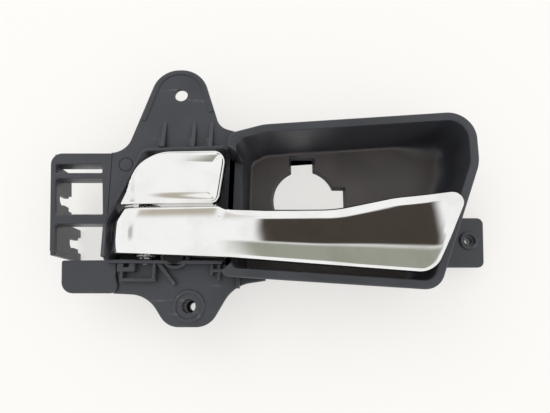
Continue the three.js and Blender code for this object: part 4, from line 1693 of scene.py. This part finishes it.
@dataclass(frozen=True)
class HandleCover(LeverCover):
    """The pull lever's cover: curled round the pin at its left end, then rising slowly; crowned
    across, with a soft bevel along its upper edge.

    Attributes:
        crown: Height of the crown across the lever.
        bevel: Width of the upper bevel.
        bevel_drop: How far the bevel falls.
        bevel_start: Stations along X between which the bevel sets in.
        bevel_end: Stations along X between which it fades out, from the right.
        rise: Factors of the rise, of the distance's square and of its cube.
        reach: Stations along Y, and the curl's half width at each.
    """

    crown: float = 1.5
    bevel: float = 3.3
    bevel_drop: float = 1.5
    bevel_start: tuple[float, float] = (-21.0, -5.0)
    bevel_end: tuple[float, float] = (84.0, 68.0)
    rise: tuple[float, float] = (2.582e-4, -2.69e-7)
    reach: tuple[tuple[float, float], ...] = ((-15.8, -9.4), (15.8, 15.4))

    def front(
        self, x: np.ndarray, y: np.ndarray, across: np.ndarray, edge_distance: np.ndarray
    ) -> np.ndarray:
        """Height of the front surface: the curl, the rise a p² + b p³ over the distance p from the
        pin, the crown as a parabola across, and the bevel as a slope that sets in smoothly.

        Args:
            x: Stations along X.
            y: Stations along Y.
            across: Share of the way from the lower edge to the upper edge.
            edge_distance: Distance to the outline.

        Returns:
            The heights.
        """
        along = x - PIN_X
        right = np.maximum(along, 0)
        rise = self.rise[0] * right**2 + self.rise[1] * right**3
        height = PIN_Z + curled_height(along, np.interp(y, *self.reach)) + rise
        height = height - self.crown * (2 * across - 0.95) ** 2
        upper = ramp(across, 0.5, 0.625) * ramp(x, *self.bevel_start) * ramp(x, *self.bevel_end)
        step = np.clip(1 - edge_distance / self.bevel, 0, 1)
        soft = np.where(step < 0.2, step**2 / 0.4, step - 0.1)
        return height - self.bevel_drop * soft * upper


@dataclass(frozen=True)
class LockCover(LeverCover):
    """The lock lever's cover, with a soft dish for the finger.

    Attributes:
        dish: Depth of the dish at its right end.
        dish_span: Stations along X between which the dish deepens.
        right_edge: Stations along Y, and the dish's right edge along X at each.
        border: Width of the level border round the dish.
        shoulder: Width of the slope between the border and the dish.
        reach: Half width of the curl.
        slope: Half the slope at which the front falls to the right.
    """

    dish: float = 1.3
    dish_span: tuple[float, float] = (-68.0, -26.0)
    right_edge: tuple[tuple[float, float], ...] = ((-8.0, 17.5), (-25.0, -21.9))
    border: float = 1.5
    shoulder: float = 4.6
    reach: float = 15.6
    slope: float = 0.008

    def front(
        self, x: np.ndarray, y: np.ndarray, across: np.ndarray, edge_distance: np.ndarray
    ) -> np.ndarray:
        """Height of the front surface: the curl and a fall that sets in smoothly over the pin, less
        the dish. The dish is a ramp towards the right times a smooth step of the distance to the
        right, lower and upper edges.

        Args:
            x: Stations along X.
            y: Stations along Y.
            across: Share of the way from the lower edge to the upper edge. Not used here.
            edge_distance: Distance to the outline. Not used here.

        Returns:
            The heights.
        """
        along = x - PIN_X
        fall = self.slope * (along + np.sqrt(along**2 + 60))
        height = PIN_Z + 0.06 + curled_height(along, np.full(x.shape, self.reach)) - fall
        right = np.interp(y, *self.right_edge) - x
        lower, upper = y + 7.8, 17.2 - y + 0.025 * np.maximum(x + 40, 0)
        distance = np.minimum(np.minimum(right, lower), upper)
        inside = smooth(ramp(distance, self.border, self.border + self.shoulder))
        return height - self.dish * inside * ramp(x, *self.dish_span)


HANDLE = HandleCover(
    name="pull_lever_cover", body=Body.HANDLE, node="handle_cover",
    outline=(
        (-75.5, -29.4, 4.5), (-20, -31.7, 60), (68.8, -38.7, 10), (86.9, -1.9, 4.8), (54, -4.8, 50),
        (27, -10.1, 60), (-22.0, -10.0, 3), (-25.2, -8.4, 3), (-74.2, -9.2, 4),
    ),
    splits=(0, 2, 3, 8), skirt=5.0, travel=35.0,
)
LOCK = LockCover(
    name="lock_lever_cover", body=Body.LOCK, node="lock_cover",
    outline=((-72.0, -8, 1.8), (-25.2, -7.4, 4), (-21.8, 17.5, 5.5), (-52.5, 16.8, 20), (-62.0, 11.4, 16)),
    splits=(0, 1, 2, 4), skirt=4.6, travel=12.0, columns=90,
)


# ------------------------------------------------------------------------------- hardware


@dataclass(frozen=True)
class ReturnSpring:
    """The torsion spring round the pin, with one leg on the housing and one on the handle.

    Attributes:
        wire: Radius of the wire.
        radius: Radius of the coil.
        turns: Number of turns.
        start: Station along Y of the end on the handle.
        end: Station along Y of the end on the housing.
        leg: How far the legs hang below the pin.
    """

    wire: float = 0.6
    radius: float = 4.1
    turns: float = 3.5
    start: float = -12.9
    end: float = -8.1
    leg: float = 9.4

    def path(self) -> np.ndarray:
        """The wire's path: a leg, a helix round the pin and another leg, in the plane across the
        pin but for the helix's advance.

        Returns:
            The stations.
        """
        share = np.linspace(0, 1, 120)
        angle = share * self.turns * 2 * math.pi
        coil = np.stack([
            PIN_X + self.radius * np.cos(angle),
            self.start + (self.end - self.start) * share,
            PIN_Z + self.radius * np.sin(angle),
        ], axis=1)
        drop = np.linspace(self.leg, 0.6, 12)[:, None]
        first = coil[0] - drop * np.array([0.0, 0.0, 1.0])
        last = coil[-1] - drop[::-1] * np.array([0.12, 0.0, 1.0])
        return np.concatenate([first, coil, last])

    def build(self, workshop: Workshop) -> None:
        """Makes the spring, gives it the steel finish and hides the node it stands for.

        Args:
            workshop: Holds the finishes.
        """
        spring = make_object("return_spring", tube(self.path(), self.wire, (0, 1, 0)))
        spring.data.materials.append(workshop.materials[Slot.STEEL])
        place = (np.array([PIN_X, 0, PIN_Z]) + CENTRE_SHIFT) * MM
        ends = [(place[0], (y + CENTRE_SHIFT[1]) * MM, place[2]) for y in (self.end, self.start)]
        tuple(ends[0])
        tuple(ends[1])
        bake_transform(spring)
        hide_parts("return_spring")


@dataclass(frozen=True)
class CopiedPiece:
    """A frame node that only needs rounded edges and a finish.

    Attributes:
        node: The node.
        body: The body it rides on.
        slot: Its material slot.
        edge: Width of the rounded edge in millimetres.
    """

    node: str
    body: Body
    slot: Slot
    edge: float = 0.25

    def build(self, workshop: Workshop) -> None:
        """Makes and dresses the piece.

        Args:
            workshop: Dresses the piece.
        """
        piece = moulded_copy(self.node, self.node + "_moulding", self.edge)
        workshop.dress(piece, self.body, self.slot, (self.node,))


COPIES = (
    CopiedPiece("handle_rest_bumper", Body.HOUSING, Slot.RUBBER, 0.6),
    CopiedPiece("lock_rest_bumper", Body.HOUSING, Slot.RUBBER, 0.4),
    CopiedPiece("pivot_pin", Body.HOUSING, Slot.STEEL, 0.2),
    CopiedPiece("pin_circlip", Body.HOUSING, Slot.STEEL, 0.12),
    CopiedPiece("lock_detent_spring", Body.HOUSING, Slot.STEEL, 0.1),
    CopiedPiece("handle_back", Body.HANDLE, Slot.CARRIER, 0.3),
    CopiedPiece("handle_hub", Body.HANDLE, Slot.CARRIER, 0.3),
    CopiedPiece("handle_bush_1", Body.HANDLE, Slot.ACETAL, 0.12),
    CopiedPiece("handle_bush_2", Body.HANDLE, Slot.ACETAL, 0.12),
    CopiedPiece("handle_cover_screw_1", Body.HANDLE, Slot.STEEL, 0.12),
    CopiedPiece("handle_cover_screw_2", Body.HANDLE, Slot.STEEL, 0.12),
    CopiedPiece("handle_cover_screw_3", Body.HANDLE, Slot.STEEL, 0.12),
    CopiedPiece("lock_back", Body.LOCK, Slot.CARRIER, 0.3),
    CopiedPiece("lock_hub", Body.LOCK, Slot.CARRIER, 0.3),
    CopiedPiece("lock_bush_1", Body.LOCK, Slot.ACETAL, 0.12),
    CopiedPiece("lock_bush_2", Body.LOCK, Slot.ACETAL, 0.12),
    CopiedPiece("lock_cover_screw_1", Body.LOCK, Slot.STEEL, 0.12),
    CopiedPiece("lock_cover_screw_2", Body.LOCK, Slot.STEEL, 0.12),
)


# ------------------------------------------------------------------------------- stage


@dataclass(frozen=True)
class Card:
    """A card over the stage that only polished surfaces see.

    Attributes:
        name: Name of the card.
        centre: Its middle, in millimetres.
        size: Its width and depth in millimetres.
        colour: The light it sends.
        soft: Share of each side over which it fades out.
    """

    name: str
    centre: tuple[float, float, float]
    size: tuple[float, float]
    colour: tuple[float, float, float]
    soft: float = 0.25

    def build(self) -> bpy.types.Object:
        """Makes the card: a flat grid whose material fades to nothing at its edges.

        Returns:
            The card.
        """
        width, depth = self.size
        x, y = np.meshgrid(np.linspace(-0.5, 0.5, 9) * width, np.linspace(-0.5, 0.5, 9) * depth)
        points = np.stack([x + self.centre[0], y + self.centre[1], np.full(x.shape, self.centre[2])], axis=-1)
        card = make_object(self.name, Shape(points.reshape(-1, 3), grid_faces(9, 9, False)))
        material = bpy.data.materials.new(self.name)
        material.use_nodes = True
        tree = material.node_tree
        tree.nodes.clear()
        coordinates = tree.nodes.new("ShaderNodeTexCoord").outputs["Object"]
        place = tree.nodes.new("ShaderNodeMapping")
        place.vector_type = "TEXTURE"
        place.inputs["Location"].default_value = [c * MM for c in self.centre]
        place.inputs["Scale"].default_value = (width * MM / 2, depth * MM / 2, 1)
        tree.links.new(coordinates, place.inputs["Vector"])
        parts = tree.nodes.new("ShaderNodeSeparateXYZ")
        tree.links.new(place.outputs[0], parts.inputs[0])
        masks = [
            band_node(tree, math_node(tree, "ABSOLUTE", parts.outputs[k], 0), 1.0, 1.0 - 2 * self.soft)
            for k in (0, 1)
        ]
        mask = math_node(tree, "MULTIPLY", *masks)
        clear = tree.nodes.new("ShaderNodeBsdfTransparent")
        glow = tree.nodes.new("ShaderNodeEmission")
        glow.inputs["Color"].default_value = (*self.colour, 1)
        blend = tree.nodes.new("ShaderNodeMixShader")
        tree.links.new(mask, blend.inputs[0])
        tree.links.new(clear.outputs[0], blend.inputs[1])
        tree.links.new(glow.outputs[0], blend.inputs[2])
        sink = tree.nodes.new("ShaderNodeOutputMaterial")
        tree.links.new(blend.outputs[0], sink.inputs["Surface"])
        card.data.materials.append(material)
        card.visible_camera = False
        card.visible_diffuse = False
        card.visible_shadow = False
        card.visible_transmission = False
        return card


CARDS = (
    Card("brown card", (62, 95, 420), (216, 232), (0.060, 0.050, 0.042), 0.07),
    Card("green card", (56, -100, 430), (300, 190), (0.33, 0.34, 0.29), 0.16),
    Card("beige card", (-150, 300, 440), (260, 260), (0.50, 0.46, 0.40), 0.4),
    Card("grey card", (-330, 40, 440), (200, 240), (0.55, 0.53, 0.51), 0.4),
)


@dataclass(frozen=True)
class Studio:
    """The pale table, the soft lights and the camera.

    Attributes:
        eye: The camera's place in millimetres.
        target: What it looks at.
        lens: Focal length for a 36 mm sensor.
        table: Colour of the table.
        table_glow: Colour and strength of the table's own light.
        sky: Colour and strength of the light from all round.
    """

    eye: tuple[float, float, float] = (0.81, -56.19, 246.7)
    target: tuple[float, float, float] = (0.81, -8.45, 34.5)
    lens: float = 31.4
    table: tuple[float, ...] = (0.36, 0.352, 0.335, 1)
    table_glow: tuple[tuple[float, ...], float] = ((1.0, 0.99, 0.97, 1), 0.56)
    sky: tuple[tuple[float, ...], float] = ((0.99, 0.995, 1.0, 1), 0.96)

    def _aimed(self, obj: bpy.types.Object, place: Sequence[float], target: Sequence[float]) -> None:
        """Puts an object at a place and turns its -Z axis to a target.

        Args:
            obj: The object.
            place: Its place in millimetres.
            target: The target in millimetres.
        """
        location = Vector(place) * MM
        direction = Vector(target) * MM - location
        turn = direction.to_track_quat("-Z", "Y").to_matrix().to_4x4()
        obj.matrix_world = Matrix.Translation(location) @ turn

    def _light(
        self, name: str, place: Sequence[float], size: float, power: float, colour: Sequence[float]
    ) -> None:
        """Adds a square soft light aimed at the object.

        Args:
            name: Name of the light.
            place: Its place in millimetres.
            size: Side in metres.
            power: Power in watts.
            colour: Colour.
        """
        data = bpy.data.lights.new(name, "AREA")
        data.size = size
        data.energy = power
        data.color = colour
        light = bpy.data.objects.new(name, data)
        bpy.context.scene.collection.objects.link(light)
        light.visible_glossy = False
        self._aimed(light, place, (0, 0, 20))

    def _floor(self) -> bpy.types.Object:
        """Makes the table.

        Returns:
            The table.
        """
        x, y = np.meshgrid(np.linspace(-2600, 2600, 27), np.linspace(-2600, 2600, 27))
        points = np.stack([x, y, np.full(x.shape, -0.05)], axis=-1).reshape(-1, 3)
        floor = make_object("table", Shape(points, grid_faces(27, 27, False)))
        material = bpy.data.materials.new("pale table")
        material.use_nodes = True
        shader = material.node_tree.nodes["Principled BSDF"]
        shader.inputs["Base Color"].default_value = self.table
        shader.inputs["Roughness"].default_value = 0.7
        colour, strength = self.table_glow
        shader.inputs["Emission Color"].default_value = colour
        shader.inputs["Emission Strength"].default_value = strength
        floor.data.materials.append(material)
        return floor

    def build(self) -> None:
        """Makes the table, the cards, the world, the lights and the camera."""
        floor = self._floor()
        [card.build() for card in CARDS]
        scene = bpy.context.scene
        scene.world = bpy.data.worlds.new("studio")
        scene.world.use_nodes = True
        background = scene.world.node_tree.nodes["Background"]
        colour, strength = self.sky
        background.inputs["Color"].default_value = colour
        background.inputs["Strength"].default_value = strength
        self._light("window", (-700, 900, 1100), 1.1, 5, (0.98, 0.99, 1.0))
        self._light("fill", (800, -500, 1300), 1.4, 3, (1.0, 0.98, 0.95))
        data = bpy.data.cameras.new("camera")
        data.lens = self.lens
        data.sensor_width = 36
        data.clip_start = 0.01
        camera = bpy.data.objects.new("camera", data)
        scene.collection.objects.link(camera)
        self._aimed(camera, self.eye, self.target)
        scene.camera = camera
        scene.view_settings.view_transform = "Standard"


# ------------------------------------------------------------------------------- assembly


def main() -> None:
    """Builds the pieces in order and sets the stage."""
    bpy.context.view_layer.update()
    workshop = Workshop()
    Bowl().build(workshop)
    ScrewTab().build(workshop)
    CableBracket().build(workshop)
    UpperEar().build(workshop)
    LowerEar().build(workshop)
    Pocket().build(workshop)
    for piece in COPIES:
        piece.build(workshop)
    HANDLE.build(workshop)
    LOCK.build(workshop)
    ReturnSpring().build(workshop)
    Studio().build()


if __name__ == "__main__":
    main()
